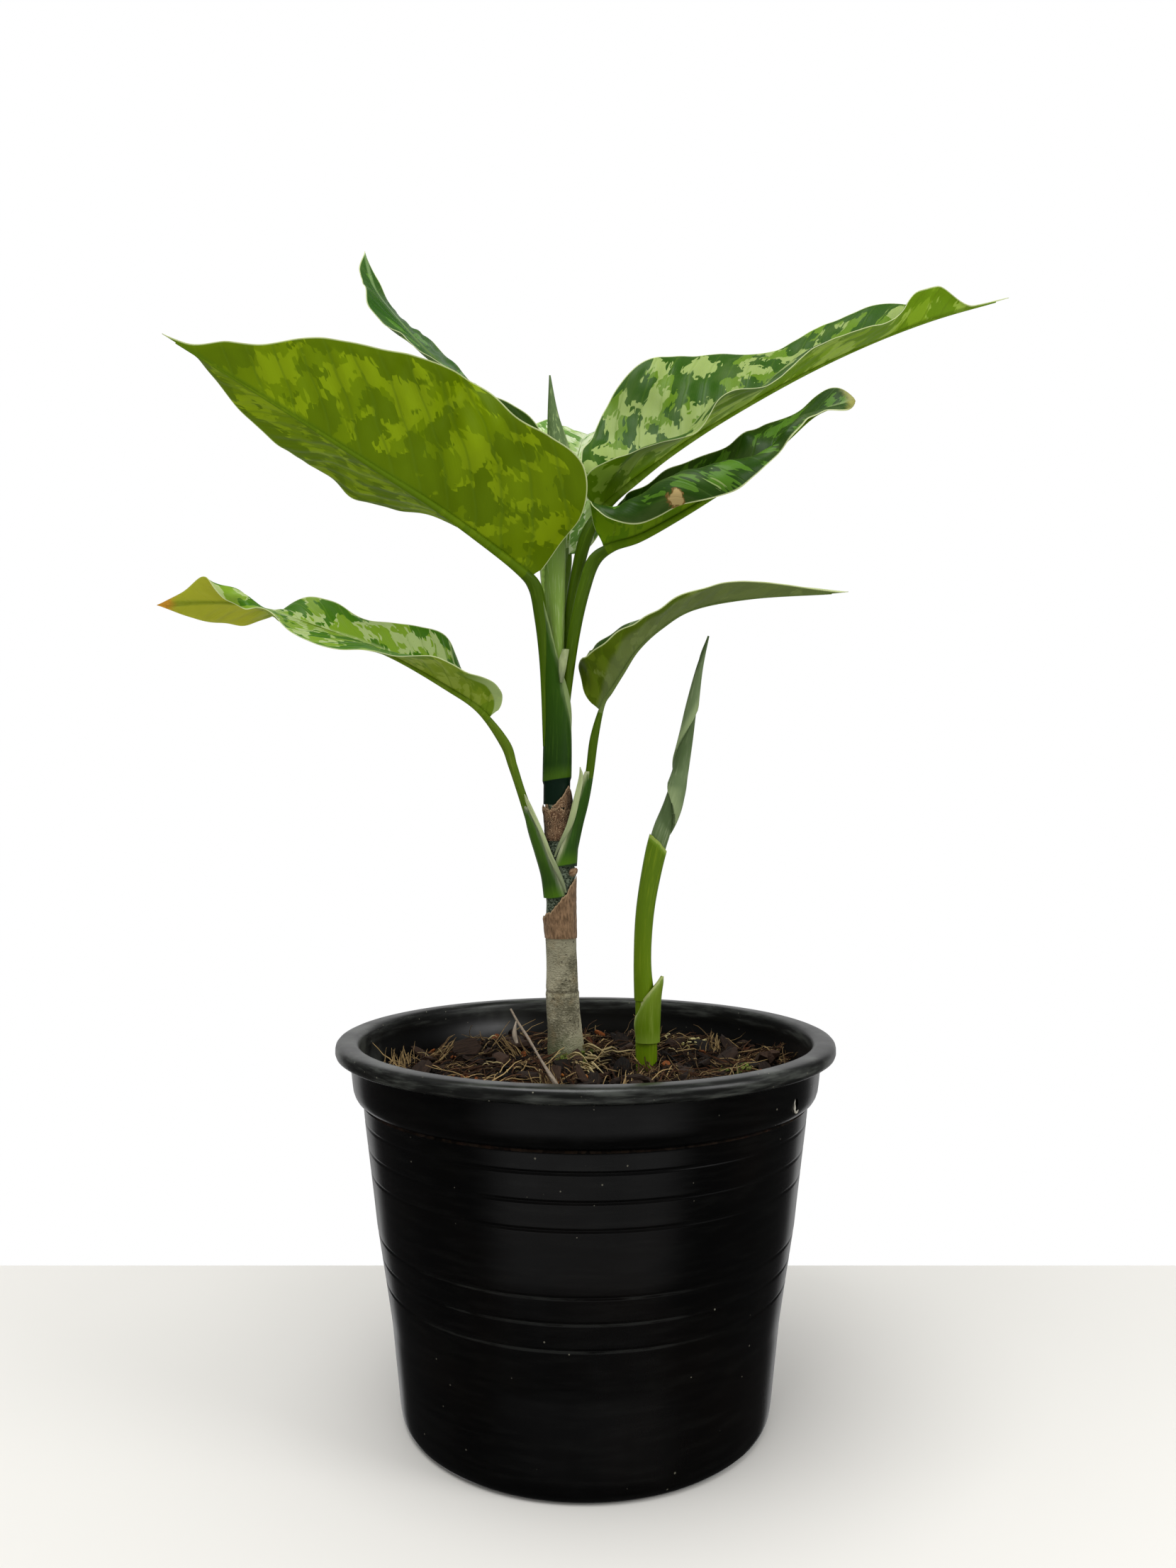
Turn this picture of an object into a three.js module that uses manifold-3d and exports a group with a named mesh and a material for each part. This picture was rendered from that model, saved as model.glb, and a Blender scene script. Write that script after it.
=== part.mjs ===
// Potted chinese evergreen: a young variegated plant on a bare cane, with one offset shoot,
// in a round black nursery pot. Millimetres, +Z up, origin at the middle of the pot's base.
// -Y is the front, the side from which the big leaf arches to the left.
import * as THREE from 'three';
import Module from 'manifold-3d';
import { mergeVertices } from 'three/addons/utils/BufferGeometryUtils.js';

const wasm = await Module();
wasm.setup();

// ---------------------------------------------------------------- driving dimensions

const GAP = 0.3; // clearance between pieces that touch

const POT_HEIGHT = 125;
const RIM_RADIUS = 85; // the pot measures 170 mm across its lip
const LIP_INNER_RADIUS = 77.2;
const WALL = 1.5; // of the body
const FLOOR = 1.8;
const POT_SIDES = 40;
const GROOVE = { depth: 0.5, halfWidth: 0.6, heights: [46.8, 54.9, 62.7, 82.4, 90.6, 99.1] };
const DRAIN = { count: 8, radius: 4.5, ring: 46 };
const HANGER_HOLE = { radius: 1.4, height: 111.3, angle: -35.5 }; // punched through the collar

// the pot's own outline, [radius, height], from the foot up to the collar and over the lip
const FOOT_OUTLINE = [[0, 0], [58.8, 0], [61.2, 0.9], [62.4, 3]];
const BODY_OUTLINE = [
  [62.9, 6], [63.6, 13], [65.6, 32], [67.8, 46], [70.9, 65], [72.1, 75], [75.1, 98.6], [75.7, 104.4],
];
const COLLAR_OUTLINE = [[76.8, 106], [78.3, 107.3], [79.2, 110], [80, 118.8], [81.6, 119]];
const LIP_OUTLINE = [
  [84.2, 119.4], [RIM_RADIUS, 120.8], [RIM_RADIUS, 123.2], [84.1, 124.6], [82.4, POT_HEIGHT],
];
const INSIDE_OUTLINE = [
  [0, FLOOR], [60, FLOOR], [63.2 - WALL, 9], [67.8 - WALL, 46], [73.3 - WALL, 84], [75.7 - WALL, 105.6],
  [76.4, 108.4], [LIP_INNER_RADIUS, 123], [77.8, 124.5], [79.4, POT_HEIGHT],
];

const SOIL = {
  top: 113, // 12 mm under the lip
  edge: 76.2,
  rings: [69, 60, 51, 42, 33, 24, 16, 8, 0],
  sides: 32,
  lump: 0.8,
  mound: 2.6, // the soil rises a little round the cane
  moundSpread: 16,
};
const CRUMBS = { count: 20, seed: 41, reach: 70, limit: 75, sunk: 0.3, tilt: 0.5 };
const STEM_CLEARANCE = 0.4; // between a stem and its hole in the soil

const BLADE = { thickness: 0.8, keel: 1.5, rows: 20, columns: 4, start: 0.006, end: 0.985 };
const PETIOLE = { sides: 8, steps: 12 };
const SHEATH = { wall: 0.7, steps: 6, columns: 10 };
const PAPER = { wall: 0.6, steps: 3, columns: 18 };

const COLOURS = {
  pot: 0x16171a,
  soil: 0x3b2a20,
  bark: 0x8c8570,
  paper: 0xa98a63,
  leaf: 0x5f8a2a,
  young: 0x9bb07a,
  straw: 0xb08f63,
};

// Every leaf: `midrib` runs from the blade's base to its tip. Each half of the blade turns up
// from the level by `lift` degrees, is `reach` times `width` wide where the outline is widest,
// rolls by `curl` more degrees towards its margin, and has a wavy margin: [height, waves, start].
// `right` is the half on the right of someone who looks from the base to the tip. `petiole` is
// the leaf stalk with its `radius`, and `sheath` the part of it that clasps the stem.
const LEAVES = {
  leaf_front_left: {
    midrib: [[-18, -8, 283], [-44, -22, 300], [-70, -36, 314], [-95, -50, 327], [-126, -66, 343]],
    width: 38,
    outline: [0.4, 1.3],
    left: {
      lift: [50, 45, 60, 60, 65, 70, 55, 50],
      reach: [0.7, 1.25, 1.05, 1.05, 1.05, 1.1, 1.05, 1.05],
      sweep: 0.45,
      wave: [1.5, 3.5, 0.1],
    },
    right: {
      lift: [20, 25, 20, 10, 5, 5, 0, 30],
      reach: [1, 0.95, 0.95, 1.05, 0.95, 0.9, 0.95, 1.1],
      sweep: 0.3,
      wave: [1.5, 3, 0.4],
    },
    petiole: [
      [-14.4, 3, 225], [-14.6, 2.4, 243], [-14.6, 1.2, 257], [-15.8, -1.8, 270], [-17.8, -6, 280],
      [-20, -9, 284.5],
    ],
    radius: [0.8, 1.2, 2, 2.3, 2.4, 1.6],
    sheath: {
      axis: [[-10.3, 5, 205.5], [-10, 5, 222], [-9.7, 4.8, 238], [-10.2, 4, 257]],
      inner: [4.7, 4.55, 4.9, 5],
      spread: [179, 179, 105, 45],
      facing: [205, 205, 212, 215],
    },
  },
  leaf_back_left: {
    midrib: [[-16, 10, 332], [-36, 24, 354], [-60, 38, 380], [-75, 48, 399], [-86, 54, 415], [-91, 60, 433]],
    width: 30,
    outline: [0.4, 1.3],
    left: {
      lift: [15, 5, 0, 10, 20, 40],
      reach: [0.9, 0.95, 0.85, 0.95, 0.85, 1.1],
      sweep: 0.3,
      wave: [1.5, 3, 0.2],
    },
    right: {
      lift: [10, 5, 0, -5, -10, -40],
      reach: [0.7, 0.85, 0.95, 0.95, 0.85, 0.9],
      sweep: 0.3,
      wave: [1.5, 3, 0.6],
    },
    petiole: [
      [-12.9, 5, 208.4], [-12.4, 5.1, 230], [-12, 5.7, 243], [-12.6, 8.8, 259], [-14.2, 11, 280],
      [-15, 10.8, 310], [-17.5, 11, 334],
    ],
    radius: [1.3, 1.3, 1.4, 1.5, 1.8, 2, 1.4],
  },
  leaf_right_upper: {
    midrib: [[4, 8, 311], [20, 14, 326], [45, 22, 346], [88, 32, 373], [128, 38, 392], [167, 42, 405]],
    width: 34,
    outline: [0.45, 1],
    left: {
      lift: [70, 50, 60, 35, 50, 70],
      reach: [0.6, 0.95, 1.1, 1.05, 1.1, 1.2],
      sweep: 0.3,
      wave: [1.5, 3, 0.3],
    },
    right: {
      lift: [55, 10, 5, 0, 10, 30],
      reach: [1, 0.9, 0.85, 0.8, 0.8, 0.65],
      curl: [0, 0, -30, 0, 0, 0],
      sweep: 0.3,
      wave: [3, 3, 0.15],
    },
    petiole: [
      [-8.2, 6.6, 208.4], [-7.7, 6.6, 230], [-7, 7.6, 252], [-6.2, 8, 270], [-3, 8.4, 289], [1, 8, 303],
      [6, 8.6, 313.5],
    ],
    radius: [1.3, 1.35, 1.7, 1.9, 2.2, 2.4, 1.6],
  },
  leaf_right_curled: {
    midrib: [[6, 2, 296], [20, -4, 299], [40, -10, 309], [61, -16, 321], [75, -20, 334], [90, -24, 339]],
    width: 24,
    outline: [0.35, 0.8],
    left: {
      lift: [50, 60, 65, 70, 35, 60],
      reach: [0.6, 1.05, 0.9, 0.7, 1.2, 1.4],
      sweep: 0.3,
      wave: [1.2, 3, 0.1],
    },
    right: {
      lift: [70, 75, 45, 30, 10, -20],
      reach: [1.2, 1.2, 1.3, 0.7, 0.6, 1],
      curl: [-120, -160, -165, -140, -60, 0],
      sweep: 0.3,
      wave: [1.2, 4, 0.3],
    },
    petiole: [
      [-8.2, 3.5, 208.4], [-7.6, 3.4, 232], [-6.1, 2.4, 250], [-3.8, 1.6, 267], [-0.6, 1.6, 281],
      [3, 2, 291], [8.5, 1.2, 297.5],
    ],
    radius: [1.3, 1.35, 1.8, 2.2, 2.3, 2.4, 1.6],
    columns: 5,
  },
  leaf_right_low: {
    midrib: [[4.5, 2, 238], [10.5, -3, 247], [21, -9, 261], [42, -16, 272], [87, -26, 274]],
    width: 20,
    outline: [0.4, 1.3],
    left: {
      lift: [65, 70, 65, 45, 35, 40, 60],
      reach: [0.95, 1.05, 1.25, 1.15, 1.1, 1.2, 1.4],
      sweep: 0.1,
      wave: [0.8, 3, 0.2],
    },
    right: {
      lift: [85, 80, 60, 20, 0, 5, 30],
      reach: [0.85, 0.95, 0.65, 0.65, 0.75, 0.9, 0.9],
      sweep: 0.1,
      wave: [0.8, 3, 0.7],
    },
    petiole: [[-4, 5, 187], [-2.6, 4.6, 197], [-0.4, 4, 206], [1.4, 3, 216], [3, 1.8, 228], [5.4, 0.8, 240]],
    radius: [0.9, 1.6, 1.6, 1.5, 1.5, 1.3],
    sheath: {
      axis: [[-9.6, 5.6, 185], [-9.8, 5.4, 193], [-8.4, 5, 205], [-3.8, 4, 216]],
      inner: [5.1, 6, 6, 3.8],
      spread: [100, 64, 42, 20],
      facing: [0, -2, -5, -8],
    },
  },
  leaf_left_low: {
    midrib: [
      [-33, -2, 235], [-46, -8, 244], [-68, -15, 256], [-89, -20, 263], [-107, -24, 268], [-123, -27, 269],
      [-140, -30, 268],
    ],
    width: 24,
    outline: [0.4, 1.3],
    left: {
      lift: [70, 20, -10, -20, -10, 25, 80],
      reach: [0.7, 0.75, 0.9, 1.2, 0.8, 1.4, 1.15],
      sweep: 0.3,
      wave: [1, 3, 0.5],
    },
    right: {
      lift: [35, 30, 60, 50, 5, -30, -65],
      reach: [1, 1.4, 0.6, 0.6, 0.95, 1.2, 0.95],
      sweep: 0.2,
      wave: [3, 3.3, 0.45],
    },
    petiole: [
      [-15.4, 5, 176], [-16.2, 5, 186], [-18.9, 5, 200], [-21.7, 4, 209.5], [-24.9, 3, 218],
      [-28.6, 1, 226], [-35, -3, 236.5],
    ],
    radius: [0.8, 1.3, 1.9, 2, 2, 2, 1.4],
    sheath: {
      axis: [[-9.1, 6.3, 171.6], [-9.6, 5.6, 184], [-11.4, 5.2, 194], [-16, 5, 204]],
      inner: [5.2, 5, 5.2, 3.8],
      spread: [88, 58, 40, 24],
      facing: [180, 180, 182, 184],
    },
  },
  leaf_back: {
    midrib: [[-7, 20, 297], [-5, 34, 328], [-2, 53, 350], [1, 76, 362], [3, 100, 364]],
    width: 25,
    outline: [0.4, 1.3],
    left: { lift: [30, 25, 20, 15, 10], reach: [1, 1], sweep: 0.3, wave: [2, 3, 0.2] },
    right: { lift: [30, 25, 20, 15, 10], reach: [1, 1], sweep: 0.3, wave: [2, 3, 0.7] },
    petiole: [
      [-11.1, 7.5, 208.4], [-10.8, 7.5, 230], [-10.2, 8.2, 243], [-9.5, 11.2, 258], [-8.6, 15.4, 281],
      [-7.2, 19.6, 296], [-6.4, 23, 303],
    ],
    radius: [1.3, 1.3, 1.4, 1.5, 1.7, 1.9, 1.2],
  },
};

// stems: a round rod along `path` with the radius read from a list
const NEW_LEAF = {
  path: [
    [-11.1, 2.5, 208.4], [-10.6, 2.5, 230], [-10, 3.4, 250], [-10.7, 4.2, 272], [-11, 5, 293],
    [-10.6, 5.5, 314], [-10, 5.8, 329], [-12, 5.6, 345], [-13, 5.2, 359],
  ],
  radius: [1.3, 1.3, 2, 2.9, 3.7, 4.3, 3.9, 1.8, 0.4],
  sides: 8,
  steps: 22,
};
const OFFSET_SHOOT = {
  path: [
    [20.2, -11, 98], [20.5, -11, 118], [20.6, -11, 134], [19.6, -11.4, 150], [20.6, -11.5, 166],
    [22.8, -11, 180], [25.6, -11, 193], [29.4, -11, 204], [32.4, -10.8, 215], [34.6, -10.5, 227],
    [36.6, -10, 239], [39.2, -10, 251], [42.2, -10, 262],
  ],
  radius: [2.6, 3.6, 3.7, 3, 3.1, 3.5, 3.7, 3.5, 2.9, 2.7, 2.1, 1.2, 0.4],
  sides: 8,
  steps: 30,
};
const CANE = {
  path: [
    [-6.4, 8, 96], [-6.6, 8, 106], [-6.9, 8, 116], [-7.6, 8, 126], [-8.3, 8, 136], [-8.5, 7.7, 146],
    [-8.8, 7.2, 156], [-9, 6.5, 166], [-9.3, 6, 176], [-9.7, 5.5, 188], [-10, 5.2, 199], [-10.3, 5, 208],
  ],
  radius: [6.4, 6.9, 6.6, 6, 5.9, 5.5, 5.4, 5, 4.7, 4.4, 4.3, 4.25],
  sides: 12,
  steps: 30,
};
const STRAW = { path: [[-3, -54, 108], [-25, -25, 137]], radius: [0.6, 0.6], sides: 6, steps: 4 };

const SCAR_HEIGHTS = [137.5, 157, 170.5, 184, 196]; // rings on the cane where old leaves sat
const SCAR = { swell: 0.22, spread: 1.2 };
const FOOT_OF_CANE = CANE.path[2]; // where it leaves the soil
const FOOT_OF_SHOOT = OFFSET_SHOOT.path[1];

const OFFSET_SHEATH = {
  axis: [[20.6, -11, 122], [20.6, -11, 134], [20.2, -11.2, 141], [21.2, -11.4, 147]],
  inner: [4.2, 4.3, 4, 3.9],
  spread: [179, 120, 70, 20],
  facing: [0, 0, -5, -10],
};
const DRY_SHEATHS = {
  dry_sheath_lower: { facing: 0, foot: 158, height: 12.5, slant: 8, inner: 5.75, taper: -0.4, spread: 178 },
  dry_sheath_upper: { facing: 180, foot: 189.6, height: 9, slant: -5, inner: 4.8, taper: -0.05, spread: 108 },
};

// ---------------------------------------------------------------- small helpers

const rad = THREE.MathUtils.degToRad;

function curveThrough(points) {
  return new THREE.CatmullRomCurve3(points.map((p) => new THREE.Vector3(...p)), false, 'catmullrom', 0.5);
}

// value of a list of numbers read as a smooth curve over 0..1
function valueAt(list, t) {
  return curveThrough(list.map((v) => [v, 0, 0])).getPoint(t).x;
}

// list of f(0) ... f(count - 1)
function listOf(count, f) {
  return Array.from({ length: count }, (_, k) => f(k));
}

function seededRandom(seed) {
  let state = seed;
  return () => {
    state = (state * 16807) % 2147483647;
    return state / 2147483647;
  };
}

function geometryOf(points, triangles) {
  const geometry = new THREE.BufferGeometry();
  const numbers = points.flatMap((p) => [p.x, p.y, p.z]);
  geometry.setAttribute('position', new THREE.Float32BufferAttribute(numbers, 3));
  geometry.setIndex(triangles.flat());
  return geometry;
}

// three.js geometry to a solid: seams are merged and triangles without area are left out
function solidOf(geometry) {
  const bare = geometry.clone();
  bare.deleteAttribute('normal');
  bare.deleteAttribute('uv');
  const merged = mergeVertices(bare, 1e-4);
  const index = merged.index.array;
  const kept = [];
  for (let k = 0; k < index.length; k += 3) {
    const [a, b, c] = [index[k], index[k + 1], index[k + 2]];
    if (a !== b && b !== c && c !== a) {
      kept.push(a, b, c);
    }
  }
  const mesh = new wasm.Mesh({
    numProp: 3,
    vertProperties: new Float32Array(merged.attributes.position.array),
    triVerts: new Uint32Array(kept),
  });
  return new wasm.Manifold(mesh);
}

function geometryFrom(solid) {
  const mesh = solid.getMesh();
  const geometry = new THREE.BufferGeometry();
  geometry.setAttribute('position', new THREE.BufferAttribute(mesh.vertProperties, mesh.numProp));
  geometry.setIndex(new THREE.BufferAttribute(mesh.triVerts, 1));
  geometry.computeVertexNormals();
  return geometry;
}

// Closed wall between two grids of points, both split along the same diagonals.
// The first grid is the face whose outward side is (next column) x (next row).
function wallBetween(face, back) {
  const rows = face.length;
  const columns = face[0].length;
  const at = (i, j) => i * columns + j;
  const behind = rows * columns;
  const triangles = [];
  const edges = [];
  for (let i = 0; i < rows - 1; i++) {
    for (let j = 0; j < columns - 1; j++) {
      const first = [at(i, j), at(i, j + 1), at(i + 1, j)];
      const second = [at(i, j + 1), at(i + 1, j + 1), at(i + 1, j)];
      for (const [a, b, c] of [first, second]) {
        triangles.push([a, b, c], [a + behind, c + behind, b + behind]);
      }
    }
    edges.push([at(i, columns - 1), at(i + 1, columns - 1)], [at(i + 1, 0), at(i, 0)]);
  }
  for (let j = 0; j < columns - 1; j++) {
    edges.push([at(0, j), at(0, j + 1)], [at(rows - 1, j + 1), at(rows - 1, j)]);
  }
  for (const [p, q] of edges) {
    triangles.push([q, p, p + behind], [q, p + behind, q + behind]);
  }
  return geometryOf([...face.flat(), ...back.flat()], triangles);
}

// Round rod along a curve with its radius read from a list, closed at both ends
function rod({ path, radius: radii, sides, steps }, extra = 0, swell = () => 0) {
  const curve = curveThrough(path);
  const points = [];
  const triangles = [];
  for (let i = 0; i <= steps; i++) {
    const t = i / steps;
    const centre = curve.getPoint(t);
    const along = curve.getTangent(t);
    const across = new THREE.Vector3(0, 1, 0.02).cross(along).normalize();
    const other = along.clone().cross(across);
    const radius = valueAt(radii, t) + extra + swell(centre.z);
    for (let k = 0; k < sides; k++) {
      const angle = (2 * Math.PI * k) / sides;
      const point = centre.clone().addScaledVector(across, radius * Math.cos(angle));
      points.push(point.addScaledVector(other, radius * Math.sin(angle)));
    }
  }
  for (let i = 0; i < steps; i++) {
    for (let k = 0; k < sides; k++) {
      const a = i * sides + k;
      const b = i * sides + ((k + 1) % sides);
      triangles.push([a, b, b + sides], [a, b + sides, a + sides]);
    }
  }
  const last = steps * sides;
  for (let k = 1; k < sides - 1; k++) {
    triangles.push([0, k + 1, k], [last, last + k, last + k + 1]);
  }
  return geometryOf(points, triangles);
}

// ---------------------------------------------------------------- leaves

// half width of a blade at u, 0 at its base and 1 at its tip, as a share of the widest
function outlineAt(u, [rise, fall]) {
  const peak = Math.sqrt(rise / (rise + 2 * fall));
  return (u ** rise * (1 - u * u) ** fall) / (peak ** rise * (1 - peak * peak) ** fall);
}

// One point of a blade's middle surface: v runs from -1 at the left margin to 1 at the right one.
// The way across the half turns up by `lift`, then by `curl` more as it nears the margin.
function bladePoint(leaf, curve, u, v) {
  const along = curve.getTangent(u);
  const across = along.clone().cross(new THREE.Vector3(0, 0, 1)).normalize();
  const up = across.clone().cross(along);
  const side = Math.sign(v) || 1;
  const half = side < 0 ? leaf.left : leaf.right;
  const out = Math.abs(v);
  const width = leaf.width * outlineAt(u, leaf.outline) * valueAt(half.reach, u);
  const lift = rad(valueAt(half.lift, u));
  const curl = rad(valueAt(half.curl ?? [0, 0], u));
  const slices = 12;
  let level = 0;
  let height = 0;
  for (let k = 0; k < slices; k++) {
    const angle = lift + curl * ((out * (k + 0.5)) / slices) ** 1.5;
    level += (Math.cos(angle) * out * width) / slices;
    height += (Math.sin(angle) * out * width) / slices;
  }
  const [waveHeight, waves, start] = half.wave;
  const swing = Math.sin(2 * Math.PI * (waves * u + start)) * Math.sin(Math.PI * u) ** 0.7;
  const wave = waveHeight * out ** 2.2 * swing;
  const edgeAngle = lift + curl * out ** 1.5;
  const swept = -half.sweep * out ** 1.6 * (1 - u) ** 4 * width;
  return curve.getPoint(u)
    .addScaledVector(across, side * (level - wave * Math.sin(edgeAngle)))
    .addScaledVector(up, height + wave * Math.cos(edgeAngle))
    .addScaledVector(along, swept);
}

// A blade is a wall of even thickness, with the midrib standing out under it as a keel
function blade(leaf) {
  const curve = curveThrough(leaf.midrib);
  const { rows } = BLADE;
  const columns = 2 * (leaf.columns ?? BLADE.columns);
  const grid = listOf(rows + 1, (i) => {
    const u = BLADE.start + (BLADE.end - BLADE.start) * (i / rows);
    return listOf(columns + 1, (j) => bladePoint(leaf, curve, u, (2 * j) / columns - 1));
  });
  const normal = (i, j) => {
    const nextColumn = grid[i][Math.min(j + 1, columns)].clone().sub(grid[i][Math.max(j - 1, 0)]);
    const nextRow = grid[Math.min(i + 1, rows)][j].clone().sub(grid[Math.max(i - 1, 0)][j]);
    return nextColumn.cross(nextRow).normalize();
  };
  const moved = (i, j, distance) => grid[i][j].clone().addScaledVector(normal(i, j), distance);
  const keelAt = (i, j) => (j === columns / 2 ? BLADE.keel * (1 - i / rows) : 0);
  const half = BLADE.thickness / 2;
  const face = grid.map((row, i) => row.map((_, j) => moved(i, j, half)));
  const back = grid.map((row, i) => row.map((_, j) => moved(i, j, -half - keelAt(i, j))));
  return wallBetween(face, back);
}

// Arc-shaped wall that clasps what stands on its axis, open on the side away from `facing`
function sheath({ axis, inner, spread, facing }) {
  const curve = curveThrough(axis);
  const gridAt = (offset) => listOf(SHEATH.steps + 1, (i) => {
    const t = i / SHEATH.steps;
    const centre = curve.getPoint(t);
    const radius = valueAt(inner, t) + offset;
    return listOf(SHEATH.columns + 1, (j) => {
      const angle = rad(valueAt(facing, t) + valueAt(spread, t) * ((2 * j) / SHEATH.columns - 1));
      const [x, y] = [radius * Math.cos(angle), radius * Math.sin(angle)];
      return new THREE.Vector3(centre.x + x, centre.y + y, centre.z);
    });
  });
  return wallBetween(gridAt(SHEATH.wall), gridAt(0));
}

function leafNode(leaf) {
  const pieces = [blade(leaf), rod({ path: leaf.petiole, radius: leaf.radius, ...PETIOLE })];
  if (leaf.sheath) {
    pieces.push(sheath(leaf.sheath));
  }
  return geometryFrom(pieces.map(solidOf).reduce((whole, piece) => whole.add(piece)));
}

// ---------------------------------------------------------------- cane and dry leaf bases

// leaf scars stand out as low rings
function scarSwell(z) {
  const ringSwell = (ring) => SCAR.swell * Math.exp(-(((z - ring) / SCAR.spread) ** 2));
  return SCAR_HEIGHTS.reduce((sum, ring) => sum + ringSwell(ring), 0);
}

// the point of the cane's axis at a height
function caneAxisAt(z) {
  const curve = curveThrough(CANE.path);
  const low = CANE.path[0][2];
  const high = CANE.path[CANE.path.length - 1][2];
  let t = (z - low) / (high - low);
  for (let k = 0; k < 8; k++) {
    t += (z - curve.getPoint(t).z) / (high - low);
  }
  return curve.getPoint(t);
}

// Papery ring left by an old leaf: its torn upper edge is highest on the right
function drySheath({ facing, foot, height, slant, inner, taper, spread }) {
  const gridAt = (offset) => listOf(PAPER.steps + 1, (i) => listOf(PAPER.columns + 1, (j) => {
    const angle = rad(facing + spread * ((2 * j) / PAPER.columns - 1));
    const torn = 0.6 * Math.sin(7 * angle) + 0.4 * Math.sin(13 * angle + 1);
    const top = height + torn + slant * Math.cos(angle) * (Math.cos(angle) > 0 ? 1 : 0.55);
    const centre = caneAxisAt(foot + (top * i) / PAPER.steps);
    const radius = inner + (taper * i) / PAPER.steps + offset;
    const [x, y] = [radius * Math.cos(angle), radius * Math.sin(angle)];
    return new THREE.Vector3(centre.x + x, centre.y + y, foot + (top * i) / PAPER.steps);
  }));
  return geometryFrom(solidOf(wallBetween(gridAt(PAPER.wall), gridAt(0))));
}

// ---------------------------------------------------------------- pot and soil

// the body's outline with its shallow turned grooves
function groovedBody() {
  const radiusAt = (z) => {
    const k = BODY_OUTLINE.findIndex(([, height]) => height >= z);
    const [[r0, z0], [r1, z1]] = [BODY_OUTLINE[k - 1], BODY_OUTLINE[k]];
    return r0 + ((r1 - r0) * (z - z0)) / (z1 - z0);
  };
  const clearOfGrooves = ([, z]) => GROOVE.heights.every((g) => Math.abs(g - z) > 2 * GROOVE.halfWidth);
  const grooves = GROOVE.heights.flatMap((z) => [
    [radiusAt(z - GROOVE.halfWidth), z - GROOVE.halfWidth],
    [radiusAt(z) - GROOVE.depth, z],
    [radiusAt(z + GROOVE.halfWidth), z + GROOVE.halfWidth],
  ]);
  return [...BODY_OUTLINE.filter(clearOfGrooves), ...grooves].sort((a, b) => a[1] - b[1]);
}

function turned(outline, sides) {
  const points = outline.map(([r, z]) => new THREE.Vector2(r, z));
  return new THREE.LatheGeometry(points, sides).rotateX(Math.PI / 2);
}

function pot() {
  const outside = [...FOOT_OUTLINE, ...groovedBody(), ...COLLAR_OUTLINE, ...LIP_OUTLINE];
  let body = solidOf(turned([...outside, ...INSIDE_OUTLINE.toReversed()], POT_SIDES));
  for (let k = 0; k < DRAIN.count; k++) {
    const angle = (2 * Math.PI * (k + 0.5)) / DRAIN.count;
    const hole = new THREE.CylinderGeometry(DRAIN.radius, DRAIN.radius, 3 * FLOOR, 10).rotateX(Math.PI / 2);
    hole.translate(DRAIN.ring * Math.cos(angle), DRAIN.ring * Math.sin(angle), FLOOR / 2);
    body = body.subtract(solidOf(hole));
  }
  const { radius, height, angle } = HANGER_HOLE;
  const punch = new THREE.CylinderGeometry(radius, radius, 12, 8).rotateZ(Math.PI / 2);
  punch.translate(LIP_INNER_RADIUS, 0, height);
  punch.rotateZ(rad(angle));
  return geometryFrom(body.subtract(solidOf(punch)));
}

// Uneven top of the soil: broad lumps, and a low mound round the cane
function soilHeight(x, y) {
  const broad = Math.sin(0.17 * x + 1.1) * Math.cos(0.15 * y - 0.6);
  const middle = 0.6 * Math.sin(0.31 * x - 0.23 * y + 2);
  const small = 0.45 * Math.sin(0.47 * y + 0.38 * x);
  const fromCane = Math.hypot(x - FOOT_OF_CANE[0], y - FOOT_OF_CANE[1]);
  const mound = SOIL.mound * Math.exp(-((fromCane / SOIL.moundSpread) ** 2));
  return SOIL.top + SOIL.lump * (broad + middle + small) + mound;
}

// Fills the pot: its sides keep a gap to the pot's inside, and its top is uneven
function soilBody() {
  const wall = INSIDE_OUTLINE.filter(([, z]) => z < SOIL.top).map(([r, z]) => [
    Math.max(r - GAP, 0),
    z === FLOOR ? z + GAP : z,
  ]);
  const top = [SOIL.edge, ...SOIL.rings].map((r) => [r, SOIL.top]);
  const geometry = turned([...wall, ...top], SOIL.sides);
  const position = geometry.attributes.position;
  for (let k = 0; k < position.count; k++) {
    if (position.getZ(k) >= SOIL.top) {
      position.setZ(k, soilHeight(position.getX(k), position.getY(k)));
    }
  }
  return solidOf(geometry);
}

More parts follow.
